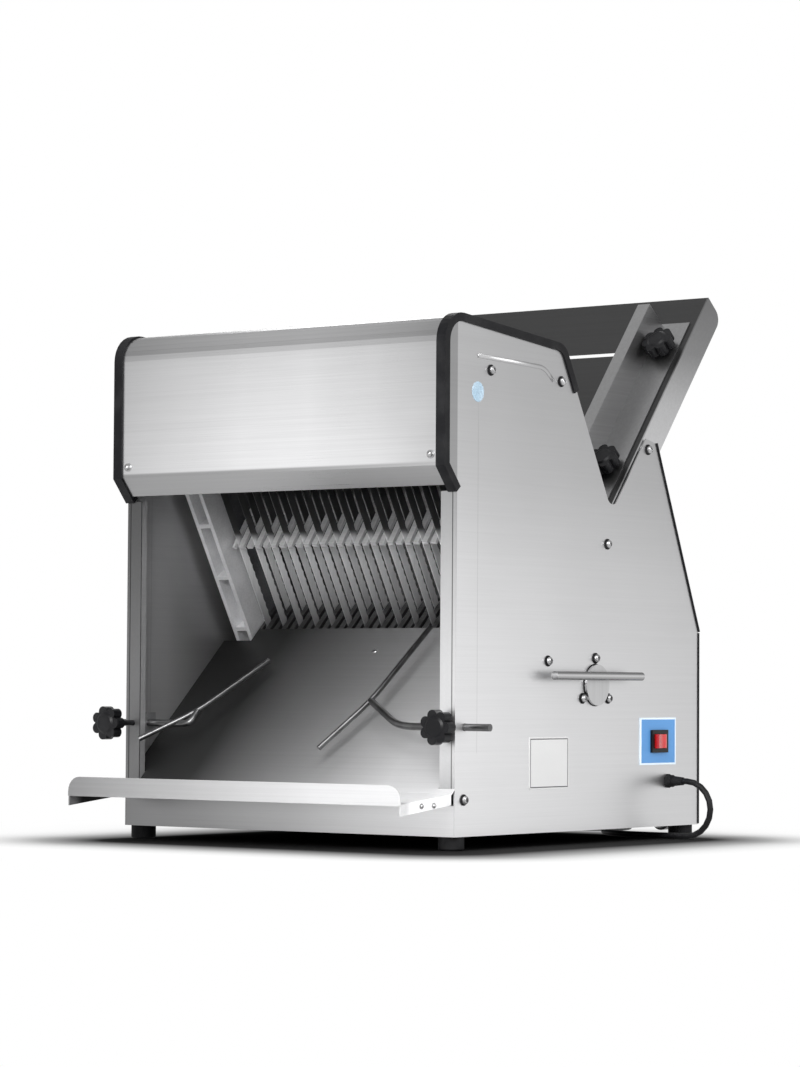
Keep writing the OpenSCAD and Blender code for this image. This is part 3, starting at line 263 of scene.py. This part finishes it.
def grey(v):
    return (v, v, v * COOL)


def brushed(along, dark, light, rough, shade=None, spread=0.10, depth=0.00004):
    """Sheet metal with fine straight grain, a few longer strokes and faint clouds, under a tone."""
    def recipe(place):
        grain = place.stretch(GRAIN[along]).noise(1.0, detail=4.0, roughness=0.6)
        strokes = place.stretch([c * STROKE for c in GRAIN[along]]).noise(1.0, detail=2.0)
        clouds = place.noise(CLOUD_SCALE)
        tone = (grain * GRAIN_SHARE + strokes * STROKE_SHARE + clouds * CLOUD_SHARE).ramp(0.32, 0.68)
        wear = (clouds - MIDDLE) * spread
        colour = tone.tint(grey(dark), grey(light))
        return {
            "Base Color": colour.shaded(shade(place)) if shade else colour,
            "Roughness": rough + wear + (grain - MIDDLE) * spread,
            "Normal": grain.bump(depth, strength=0.25),
        }
    return recipe


def polished(dark, light, rough):
    """Turned or drawn steel: faint patches of tone and a trace of handling marks."""
    def recipe(place):
        marks = place.noise(MARK_SCALE, detail=4.0)
        haze = place.noise(HAZE_SCALE, detail=2.0)
        return {
            "Base Color": marks.ramp(0.3, 0.7).tint(grey(dark), grey(light)),
            "Roughness": rough + (marks - 0.4) * 0.05,
            "Normal": haze.bump(height=0.000004, strength=0.12),
        }
    return recipe


def cast(dark, light, rough, grit=420.0):
    """A casting: sandy skin with softer patches."""
    def recipe(place):
        sand = place.noise(grit, roughness=0.6)
        patch = place.noise(PATCH_SCALE)
        return {
            "Base Color": (patch * 0.6 + sand * 0.4).ramp(0.35, 0.65).tint(dark, light),
            "Roughness": rough + (sand - MIDDLE) * 0.18,
            "Normal": sand.bump(height=0.0004, strength=0.35),
        }
    return recipe


def moulded(dark, light, rough, grit=1100.0, depth=0.00012):
    """Moulded plastic or rubber: spark grain and a slight bloom of dust."""
    def recipe(place):
        spark = place.noise(grit, detail=2.0)
        bloom = place.noise(BLOOM_SCALE, detail=4.0)
        return {
            "Base Color": bloom.ramp(0.4, 0.75).tint(dark, light),
            "Roughness": rough + (bloom - MIDDLE) * 0.2,
            "Normal": spark.bump(depth, strength=0.3),
        }
    return recipe


def bordered(middle, half, ground, rule, inset, width):
    """A plate on the right panel with a thin line set in from its edge."""
    def recipe(place):
        y = abs(place.part("Y") - middle[0] * MM) - half[0] * MM
        z = abs(place.part("Z") - middle[1] * MM) - half[1] * MM
        mask = y.greatest(z).line(-inset, width * 0.35, width * 0.6)
        speck = place.noise(SPECK_SCALE, detail=2.0)
        tone = (speck * 0.5 + mask * 1.2).ramp(0.3, 1.3)
        return {
            "Base Color": tone.tint(ground, rule),
            "Roughness": 0.42 + (speck - MIDDLE) * 0.16,
            "Normal": speck.bump(height=0.00003, strength=0.25),
        }
    return recipe


# Tones: how light lies on the large sheets, at places in millimetres

HALF_W = 230.0
ACROSS, SIDE_Y, SIDE_Z = (-HALF_W, HALF_W), (-245, 245), (0, 600)
FLANGE_Y, FLANGE_Z, FLANGE_SHADE, LEFT_FLANGE = (-243.6, -243.2), (150, 420), 0.36, 0.3
FOLD_X, FOLD_LINE, FOLD_SHADE = 225.5, (0.4, 0.9), 0.75
# A faint painted dark line down each side panel
DARK_LINE_Y, DARK_LINE_WIDTH, DARK_LINE_SHADE = -205.0, (0.3, 0.8), 0.16
DARK_LINE_FOOT, DARK_LINE_HEAD = (100, 106), (440, 500)
INNER_X, INNER_Y = (-229.7, -229.1), (-245, -40)
HOOD_Z, CHIN_EDGE = (412, 570), (410.5, 413.5)
TRAY_Y, LIP_EDGE = (-300, -60), (-333, -318)
CHUTE_Z, CHUTE_EDGE, CHUTE_PLATE = (440, 630), (223.5, 225.0), 0.40
BLADE_Z, BLADE_TOP, BLADE_SHADE = (250, 350), (340, 352), 0.95
HANDLE_Z = (182, 192)


def side_tone(place):
    """Painted light low at the front, painted shade towards the head, a painted shade line at the fold and a
    faint painted dark line.
    """
    x, y, z = abs(place.part("X")), place.part("Y"), place.part("Z")
    up = z.stops(*SIDE_Z, 1.04, 1.06, 1.02, 0.92, 0.74, 0.65, 0.66)
    back = y.stops(*SIDE_Y, 1.0, 0.88, 0.80)
    front = 1 - y.step(*FLANGE_Y)
    flange = front * z.step(*FLANGE_Z) * FLANGE_SHADE
    # Painted shade: a dark line along the front fold
    fold = front * x.line(FOLD_X, *FOLD_LINE) * FOLD_SHADE
    # Painted shade: a faint dark line down the panel
    painted_dark_line = y.line(DARK_LINE_Y, *DARK_LINE_WIDTH) * z.step(*DARK_LINE_FOOT) * (1 - z.step(*DARK_LINE_HEAD)) * DARK_LINE_SHADE
    return up * back * (1 - flange) * (1 - fold) * (1 - painted_dark_line)


def left_tone(place):
    """As the other side, with the front flange in painted shade and the inner face in painted shade, darker
    towards the rear.
    """
    x, y = place.part("X"), place.part("Y")
    shade = y.step(*FLANGE_Y) * (1 - LEFT_FLANGE) + LEFT_FLANGE
    inner = x.step(*INNER_X)
    deep = 1 - y.stops(*INNER_Y, 0.68, 0.60, 0.34, 0.10)
    return side_tone(place) * shade * (1 - inner * deep)


def hood_tone(place):
    """Painted light that falls off from low in the middle to the crown and both ends; the chin is in painted
    shade.
    """
    x, z = place.part("X"), place.part("Z")
    along = x.stops(*ACROSS, 0.60, 0.77, 0.92, 0.95, 0.83, 0.60)
    up = z.stops(*HOOD_Z, 1.10, 1.04, 0.97, 0.90, 0.66)
    chin = 1 - z.step(*CHIN_EDGE)
    return along * up * (1 - chin) + x.stops(*ACROSS, 0.36, 0.48, 0.60) * chin


def apron_tone(place):
    """Painted light: lighter to the right."""
    return place.part("X").stops(*ACROSS, 0.26, 0.38, 0.56, 0.80, 1.0)


def tray_tone(place):
    """Painted shade deep on the left and painted light low on the right, with evener painted light and shade
    on the lip.
    """
    x, y = place.part("X"), place.part("Y")
    along = x.stops(*ACROSS, 0.02, 0.04, 0.25, 0.46, 0.86, 0.96)
    up = y.stops(*TRAY_Y, 1.30, 0.95, 0.74, 0.62)
    lip = 1 - y.step(*LIP_EDGE)
    return along * up * (1 - lip) + x.stops(*ACROSS, 0.30, 0.46, 0.59, 0.76, 0.82) * lip


def chute_tone(place):
    """The plate is dull, and its folded edges carry painted light that grows downwards."""
    edge = abs(place.part("X")).step(*CHUTE_EDGE)
    return edge * place.part("Z").stops(*CHUTE_Z, 3.2, 2.6, 1.35, 1.0) + (1 - edge) * CHUTE_PLATE


def blade_tone(place):
    """Painted light between the combs and painted shade under the head."""
    z = place.part("Z")
    return z.stops(*BLADE_Z, 0.30, 0.75, 1.10, 1.15) * (1 - z.step(*BLADE_TOP) * BLADE_SHADE)


def handle_tone(place):
    """A painted highlight along the bar, with painted shade above and below it."""
    return place.part("Z").stops(*HANDLE_Z, 0.12, 0.32, 0.60, 1.0, 0.48, 0.16)


SWITCH_AT, SWITCH_HALF = (156, 113), (38, 27)
LABEL_AT, LABEL_HALF = (-67.5, 91), (38.5, 28.5)
METAL = {"Metallic": 1.0}

# Each finish: its recipe, its fixed inputs and the nodes that have it
LOOKS = {
    "side_sheet": (brushed("Y", 0.71, 0.76, 0.36, side_tone), METAL, ["right_side_panel"]),
    # The left panel's sheet is painted lighter than the right's, as painted light on its inner face
    "left_sheet": (brushed("Y", 0.80, 0.88, 0.42, left_tone), {"Metallic": 0.8}, ["left_side_panel"]),
    "hood_sheet": (brushed("X", 0.84, 0.94, 0.30, hood_tone), METAL, ["hood"]),
    "back_sheet": (brushed("X", 0.60, 0.68, 0.34), METAL, ["head_back_plate", "rear_cover"]),
    "apron_sheet": (brushed("X", 0.82, 0.90, 0.34, apron_tone), METAL, ["front_apron"]),
    "tray_sheet": (brushed("X", 0.78, 0.88, 0.40, tray_tone), {"Metallic": 0.55}, ["receiving_tray"]),
    "chute_sheet": (brushed("X", 0.17, 0.20, 0.42, chute_tone), METAL, ["feed_chute"]),
    "guide_sheet": (brushed("Y", 0.32, 0.40, 0.34), METAL,
                    ["right_loaf_guide", "left_loaf_guide", "chute_spacers"]),
    "pan_sheet": (brushed("Y", 0.28, 0.36, 0.45), METAL, ["base_pan", "motor_plate"]),
    "upper_plate": (brushed("X", 0.52, 0.72, 0.36), {"Metallic": 0.35}, ["upper_comb"]),
    "lower_plate": (brushed("X", 0.06, 0.12, 0.42), {"Metallic": 0.9}, ["lower_comb"]),
    "bright_bar": (polished(0.50, 0.56, 0.14), METAL, ["guide_rods", "crank_rollers", "crank_bearings"]),
    "boss_disc": (brushed("Z", 0.50, 0.57, 0.36), METAL, ["handle_boss"]),
    "handle_bar": (brushed("Y", 0.66, 0.78, 0.20, handle_tone), METAL, ["turn_handle"]),
    "wire_steel": (polished(0.12, 0.18, 0.30), METAL, ["right_exit_guide", "left_exit_guide"]),
    "screw_steel": (polished(0.34, 0.50, 0.20), METAL, ["panel_screws", "cover_screws"]),
    "blade_strip": (brushed("Z", 0.68, 0.86, 0.36, blade_tone), {"Metallic": 0.3},
                    ["front_blades", "rear_blades"]),
    "machined_bar": (polished(0.30, 0.42, 0.34), METAL,
                     ["front_blade_holders", "rear_blade_holders", "front_yoke", "rear_yoke", "crankshaft"]),
    "bar_alloy": (cast((0.70, 0.70, 0.71), (0.84, 0.84, 0.85), 0.44), {"Metallic": 0.6},
                  ["front_side_bars"]),
    "cast_alloy": (cast((0.34, 0.34, 0.35), (0.52, 0.52, 0.53), 0.48), {"Metallic": 0.9},
                   ["guide_rod_brackets", "right_exit_clamp", "left_exit_clamp"]),
    # The rear side bars are painted near black here as painted shade; for the castings this black is their
    # own colour
    "iron_casting_and_bar_shade": (cast((0.05, 0.05, 0.055), (0.10, 0.10, 0.105), 0.60), {"Metallic": 0.3},
                     ["crank_stands", "driven_pulley", "motor_pulley", "rear_side_bars"]),
    "motor_paint": (cast((0.10, 0.12, 0.14), (0.15, 0.17, 0.19), 0.42, 800.0), {"Coat Weight": 0.2},
                    ["motor"]),
    "black_rubber": (moulded((0.006, 0.006, 0.007), (0.018, 0.018, 0.019), 0.66),
                     {"Specular IOR Level": 0.12}, ["feet", "drive_belt", "cable_gland"]),
    "cord_sheath": (moulded((0.006, 0.006, 0.007), (0.016, 0.016, 0.017), 0.46),
                    {"Specular IOR Level": 0.15}, []),
    "knob_plastic": (moulded((0.004, 0.004, 0.005), (0.012, 0.012, 0.013), 0.34),
                     {"Specular IOR Level": 0.22},
                     ["right_upper_knob", "right_lower_knob", "left_upper_knob", "left_lower_knob",
                      "right_exit_knob", "left_exit_knob", "mains_plug", "cord_tie", "switch_bezel"]),
    "trim_plastic": (moulded((0.005, 0.005, 0.006), (0.014, 0.014, 0.015), 0.52),
                     {"Specular IOR Level": 0.14}, ["right_edge_trim", "left_edge_trim", "rear_edge_trims"]),
    "plate_print": (bordered(SWITCH_AT, SWITCH_HALF, (0.085, 0.27, 0.58), (0.72, 0.82, 0.92), 0.8, 2.6), {},
                    ["switch_plate"]),
    "label_foil": (bordered(LABEL_AT, LABEL_HALF, (0.60, 0.60, 0.60), (0.06, 0.06, 0.065), 2.2, 1.2), {}, []),
    "rocker_red": (moulded((0.42, 0.008, 0.010), (0.55, 0.015, 0.018), 0.22), {"Coat Weight": 0.6},
                   ["switch_rocker"]),
    "sticker_film": (moulded((0.30, 0.42, 0.52), (0.40, 0.51, 0.60), 0.40), {}, []),
}
looks = {}
for look, (recipe, fixed, names) in LOOKS.items():
    looks[look] = finish(look, recipe, fixed)
    for name in names:
        slots = nodes[name].data.materials
        slots.clear()
        slots.append(looks[look])
cord.data.materials.append(looks["cord_sheath"])


# Pieces that the scene adds to the solids, with places on a side panel given as Y and Z

PANEL_X = HALF_W


def mesh_piece(name, build, look, smooth=True):
    """A mesh made by build, which fills a bmesh with points in metres."""
    shape = bmesh.new()
    build(shape)
    bmesh.ops.recalc_face_normals(shape, faces=shape.faces)
    data = bpy.data.meshes.new(name)
    shape.to_mesh(data)
    shape.free()
    for face in data.polygons:
        face.use_smooth = smooth
    piece = link(name, data)
    data.materials.append(looks[look])
    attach(piece, "machine_body")
    return piece


def skin(shape, rings):
    """Faces between each ring of points and the next, and over both ends."""
    n = len(rings[0])
    for a, b in zip(rings, rings[1:]):
        for i in range(n):
            j = (i + 1) % n
            shape.faces.new((a[i], a[j], b[j], b[i]))
    shape.faces.new(rings[0])
    shape.faces.new(rings[-1])


def rounded_outline(half, r, steps=6):
    """Corners of a rounded rectangle about its middle."""
    points = []
    for cx, cy, a0 in ((1, 1, 0), (-1, 1, 90), (-1, -1, 180), (1, -1, 270)):
        for i in range(steps + 1):
            a = math.radians(a0 + 90 * i / steps)
            points.append((cx * (half[0] - r) + r * math.cos(a), cy * (half[1] - r) + r * math.sin(a)))
    return points


def panel_plate(middle, outline, thick, edge=0.15):
    """A thin plate on the right panel, with a small chamfer round its face."""
    def build(shape):
        rings = []
        for x, shrink in ((0, 0), (thick - edge, 0), (thick, edge)):
            ring = []
            for y, z in outline:
                k = 1 - shrink / max(1.0, math.hypot(y, z))
                ring.append(shape.verts.new(mm(PANEL_X + x, middle[0] + y * k, middle[1] + z * k)))
            rings.append(ring)
        skin(shape, rings)
    return build


LABEL_CORNER, LABEL_T = 3, 0.6
STICKER_AT, STICKER_R, STICKER_T = (-206, 490), 11, 0.3
label = rounded_outline(LABEL_HALF, LABEL_CORNER)
sticker = rounded_outline((STICKER_R, STICKER_R), STICKER_R)
mesh_piece("label_plate", panel_plate(LABEL_AT, label, LABEL_T), "label_foil", smooth=False)
mesh_piece("round_sticker", panel_plate(STICKER_AT, sticker, STICKER_T), "sticker_film",
           smooth=False)


def bent(points, r, steps=8, share=0.45):
    """Points in millimetres with each inner corner rounded by about r, or by a share of a short side."""
    points = [Vector(p) for p in points]
    path = [points[0]]
    for a, b, c in zip(points, points[1:], points[2:]):
        back, on = (a - b), (c - b)
        reach = min(r, share * back.length, share * on.length)
        p, q = b + back.normalized() * reach, b + on.normalized() * reach
        for i in range(steps + 1):
            t = i / steps
            path.append(p * (1 - t) ** 2 + b * 2 * t * (1 - t) + q * t * t)
    return path + [points[-1]]


EXIT_ROD_D, EXIT_WIRE_D, EXIT_BEND = 8.0, 6.0, 22.0
EXIT_Y, EXIT_Z, EXIT_END = -227.0, 131.0, 263.0
# Each side: the rod's outer end, its bend, the weld, and the wire's lower and upper ends
EXIT_GUIDES = {
    "right": (EXIT_END, 142, (72, -183, 158), (40, -235, 106), (90, -97, 241)),
    "left": (-EXIT_END, -150, (-150, -214, 145), (-200, -257, 113), (-112, -133, 203)),
}


def exit_guides():
    """Each is a bent rod through the post with a bent wire welded to its end."""
    for side, (end, bend_x, weld, low, high) in EXIT_GUIDES.items():
        rod_path = bent([(end, EXIT_Y, EXIT_Z), (bend_x, EXIT_Y, EXIT_Z), weld], EXIT_BEND)
        rod = tube_curve(side + "_exit_rod", rod_path, EXIT_ROD_D)
        wire = tube_curve(side + "_exit_wire", bent([low, weld, high], EXIT_BEND), EXIT_WIRE_D)
        for piece in (rod, wire):
            piece.data.materials.append(looks["wire_steel"])
            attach(piece, side + "_exit_guide_body")
            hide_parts(side + "_exit_guide")


exit_guides()


def revolved(shape, base, out, profile, segments=24, socket=()):
    """Rings about the line from base along out; socket lists profile places whose ring is a hexagon."""
    out = out.normalized()
    side = out.orthogonal().normalized()
    other = out.cross(side)
    rings = []
    for k, (r, h) in enumerate(profile):
        ring = []
        for i in range(segments):
            a = 2 * math.pi * i / segments
            off_flat = (a + math.pi / 6) % (math.pi / 3) - math.pi / 6
            reach = r / math.cos(off_flat) if k in socket else r
            spoke = side * math.cos(a) + other * math.sin(a)
            ring.append(shape.verts.new(base + (out * h + spoke * reach) * MM))
        rings.append(ring)
    skin(shape, rings)


def arch(r, rise, angles):
    """Points of a flattened dome's profile at angles from its rim."""
    return [(r * math.cos(math.radians(a)), rise * math.sin(math.radians(a))) for a in angles]


WASHER_D, WASHER_T = 12.2, 1.2
WASHER_RIM = [(-0.2, 0), (0, 0.3), (0, WASHER_T - 0.4), (-0.4, WASHER_T)]
SCREW_D, SCREW_RIM, SCREW_RISE = 9.0, 1.6, 0.62
SCREW_ARCH = (0, 15, 30, 42, 52)
KEY_SHARE, KEY_MOUTH, KEY_BREAK, KEY_DEPTH = 0.28, 1.08, 0.15, 0.45
PANEL_SCREWS = [(-182, 515), (-46, 513), (134, 448), (49, 336), (-70, 203), (-229, 54)]
BOSS_AT, BOSS_PCD, BOSS_D = (25, 177), 60.0, 46.0
BOSS_ANGLES = (90, 210, 330)


def screw_places():
    """Each place on a side panel, as a point and the way out of it."""
    ring = [(BOSS_AT[0] + BOSS_PCD / 2 * math.cos(math.radians(a)),
             BOSS_AT[1] + BOSS_PCD / 2 * math.sin(math.radians(a))) for a in BOSS_ANGLES]
    return [(mm(side * PANEL_X, y, z), Vector((side, 0, 0)))
            for side, places in ((1, PANEL_SCREWS + ring), (-1, PANEL_SCREWS)) for y, z in places]


def panel_heads(shape):
    """Button heads on the washers; the last two rings of each are its hexagon socket."""
    r, key = SCREW_D / 2, KEY_SHARE * SCREW_D
    shoulder = WASHER_T + SCREW_RIM
    dome = [(x, shoulder + h) for x, h in arch(r, SCREW_RISE * r, SCREW_ARCH)]
    top = dome[-1][1]
    hole = [(key * KEY_MOUTH, top), (key, top - KEY_BREAK), (key, top - KEY_DEPTH * r)]
    profile = [(r, WASHER_T)] + dome + hole
    socket = range(len(profile) - 2, len(profile))
    for at, out in screw_places():
        revolved(shape, at, out, profile, socket=socket)


def panel_washers(shape):
    profile = [(WASHER_D / 2 + w, h) for w, h in WASHER_RIM]
    for at, out in screw_places():
        revolved(shape, at, out, profile)


heads = mesh_piece("panel_screw_heads", panel_heads, "screw_steel", smooth=False)
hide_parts("panel_screws")
mesh_piece("panel_screw_washers", panel_washers, "black_rubber")

BOSS_SHADOW_PROFILE = [(0, 0), (0.9, 0.1), (0.7, 0.8), (0, 1.2)]


def painted_boss_shadow(shape):
    """A thin dark ring round the handle's disc: painted shade at the disc's rim."""
    profile = [(BOSS_D / 2 + w, h) for w, h in BOSS_SHADOW_PROFILE]
    revolved(shape, mm(PANEL_X, *BOSS_AT), Vector((1, 0, 0)), profile, segments=48)


# Painted shade round the handle's disc
mesh_piece("boss_shadow_ring", painted_boss_shadow, "black_rubber")

RIVET_AT, RIVET_OUT = (4.2, -86.1, 214.1), Vector((0, -0.682, 0.731))
RIVET_D, RIVET_RISE, RIVET_SUNK = 8.0, 0.55, 0.4
RIVET_ARCH = range(0, 81, 16)


def tray_rivet_head(shape):
    """A low round head in the middle of the tray."""
    r = RIVET_D / 2
    revolved(shape, mm(*RIVET_AT), RIVET_OUT, [(r, -RIVET_SUNK)] + arch(r, RIVET_RISE * r, RIVET_ARCH))


mesh_piece("tray_rivet", tray_rivet_head, "screw_steel")

STRIP = [(226.5, 244.0), (231.0, 244.0), (231.0, 246.4), (230.4, 247.0), (227.0, 247.0), (226.5, 246.4)]
STRIP_ENDS = (16, 239)


def rear_strips(shape):
    """A thin dark strip along each panel's upright rear edge."""
    for side in (1, -1):
        skin(shape, [[shape.verts.new(mm(side * x, y, z)) for x, y in STRIP] for z in STRIP_ENDS])


mesh_piece("rear_edge_strips", rear_strips, "trim_plastic", smooth=False)

BEAD = [(-206, 529), (-80, 526), (-62, 513)]
BEAD_W, BEAD_H, BEAD_BEND, BEAD_BEND_STEPS, BEAD_STEPS = 5.0, 1.1, 16, 10, 8


def panel_bead(side):
    """A pressed line on the head's side that turns down at its rear end."""
    def build(shape):
        path = bent([(0, y, z) for y, z in BEAD], BEAD_BEND, BEAD_BEND_STEPS)
        sections = []
        for i, p in enumerate(path):
            ahead = (path[min(i + 1, len(path) - 1)] - path[max(i - 1, 0)]).normalized()
            across = Vector((0, -ahead.z, ahead.y)) * BEAD_W / 2
            section = []
            for k in range(BEAD_STEPS + 1):
                a = math.pi * k / BEAD_STEPS
                at = p + across * math.cos(a)
                section.append(shape.verts.new(mm(side * (PANEL_X + BEAD_H * math.sin(a)), at.y, at.z)))
            sections.append(section)
        skin(shape, sections)
    return build


for side, name in ((1, "right_panel_bead"), (-1, "left_panel_bead")):
    mesh_piece(name, panel_bead(side), "side_sheet")


# Stage: floor, world and lamps

WHITE = (1, 1, 1, 1)
FLOOR_SIZE = 40
SHADE_AT, SHADE_HALF = (30, -50), (200, 220)
GLOW_FADE, MIRROR_FADE, SHADE_FADE, BOUNCE_FADE = (55, 405), (0, 130), (0, 300), (0, 110)
ROOM_LIGHT = 0.55
SKY = [(0.0, 1.0), (0.10, 0.95), (0.45, 0.45), (1.0, 0.75)]


def clear_tree(owner):
    owner.use_nodes = True
    owner.node_tree.nodes.clear()
    return Field(owner.node_tree, None)


def rays(start, kind):
    """1 for rays of the named kind and 0 for the others."""
    return start.node("ShaderNodeLightPath", out="Is " + kind + " Ray")


def close_tree(start, kind, shader):
    out = start.tree.nodes.new(kind)
    start.tree.links.new(shader.socket, out.inputs["Surface"])


def make_floor():
    """White paper that keeps the lamps' shadow near the object, darkened there by a painted shadow, and fades
    into the backdrop.
    """
    bpy.ops.mesh.primitive_plane_add(size=FLOOR_SIZE)
    floor = bpy.context.object
    floor.name = "floor"
    material = bpy.data.materials.new("floor_paper")
    start = clear_tree(material)
    place = start.node("ShaderNodeTexCoord", out="Object")
    out_x, out_y = ((abs(place.part(axis) - at * MM) - half * MM).greatest(0)
                    for axis, at, half in zip("XY", SHADE_AT, SHADE_HALF))
    away = (out_x * out_x + out_y * out_y) ** 0.5
    camera = rays(start, "Camera")
    seen = camera.greatest(rays(start, "Glossy")).greatest(rays(start, "Transmission"))
    mirrored = seen - camera
    fade = away.stops(*GLOW_FADE, 0.0, 0.30, 0.66, 0.88, 0.96, 1.0)
    lift = camera * fade + mirrored * away.step(*MIRROR_FADE)
    # Painted shadow round the object, for camera rays and for other rays
    painted_shadow_seen = away.stops(*SHADE_FADE, 0.02, 0.03, 0.15, 0.50, 0.80, 0.86)
    painted_shadow_bounced = away.stops(*BOUNCE_FADE, 0.05, 0.20, 0.50, 0.75, 0.86)
    tone = camera * painted_shadow_seen + (1 - camera) * painted_shadow_bounced
    paper = start.node("ShaderNodeBsdfDiffuse", {}, {"Color": tone})
    glow = start.node("ShaderNodeEmission", {}, {"Color": WHITE, "Strength": 1.0})
    mix = start.node("ShaderNodeMixShader", {}, {0: lift, 1: paper, 2: glow})
    close_tree(start, "ShaderNodeOutputMaterial", mix)
    floor.data.materials.append(material)


def make_world():
    """A white studio; reflections see it darker overhead."""
    world = bpy.data.worlds.new("studio")
    bpy.context.scene.world = world
    start = clear_tree(world)
    height = start.node("ShaderNodeTexCoord", out="Generated").part("Z")
    tone = height.node("ShaderNodeValToRGB", {"stops": SKY}, {"Fac": height})
    room = start.node("ShaderNodeBackground", {}, {"Color": WHITE, "Strength": ROOM_LIGHT})
    mirrored = start.node("ShaderNodeBackground", {}, {"Color": tone, "Strength": 1.0})
    white = start.node("ShaderNodeBackground", {}, {"Color": WHITE, "Strength": 1.0})
    lit = start.node("ShaderNodeMixShader", {}, {0: rays(start, "Glossy"), 1: room, 2: mirrored})
    mix = start.node("ShaderNodeMixShader", {}, {0: rays(start, "Camera"), 1: lit, 2: white})
    close_tree(start, "ShaderNodeOutputWorld", mix)


def lamp(name, at, aim, size, watts):
    data = bpy.data.lights.new(name, "AREA")
    data.shape = "RECTANGLE"
    data.size, data.size_y = size
    data.energy = watts
    light = link(name, data)
    light.location = at
    light.rotation_euler = (Vector(aim) - Vector(at)).to_track_quat("-Z", "Y").to_euler()


# Each lamp: its place and aim in metres, its size and its power
LAMPS = {
    "key_box": ((1.2, -1.8, 2.2), (0, -0.1, 0.3), (1.6, 1.2), 34),
    "side_box": ((2.6, 0.2, 1.2), (0.2, 0, 0.3), (1.6, 1.4), 26),
    "mouth_box": ((0.5, -1.7, 0.75), (0, -0.1, 0.3), (0.9, 0.6), 22),
    "back_box": ((-1.2, 1.8, 2.0), (0, 0, 0.4), (1.4, 1.0), 12),
}
make_floor()
make_world()
for name, settings in LAMPS.items():
    lamp(name, *settings)
bpy.context.scene.view_settings.view_transform = "Standard"

bpy.context.view_layer.update()
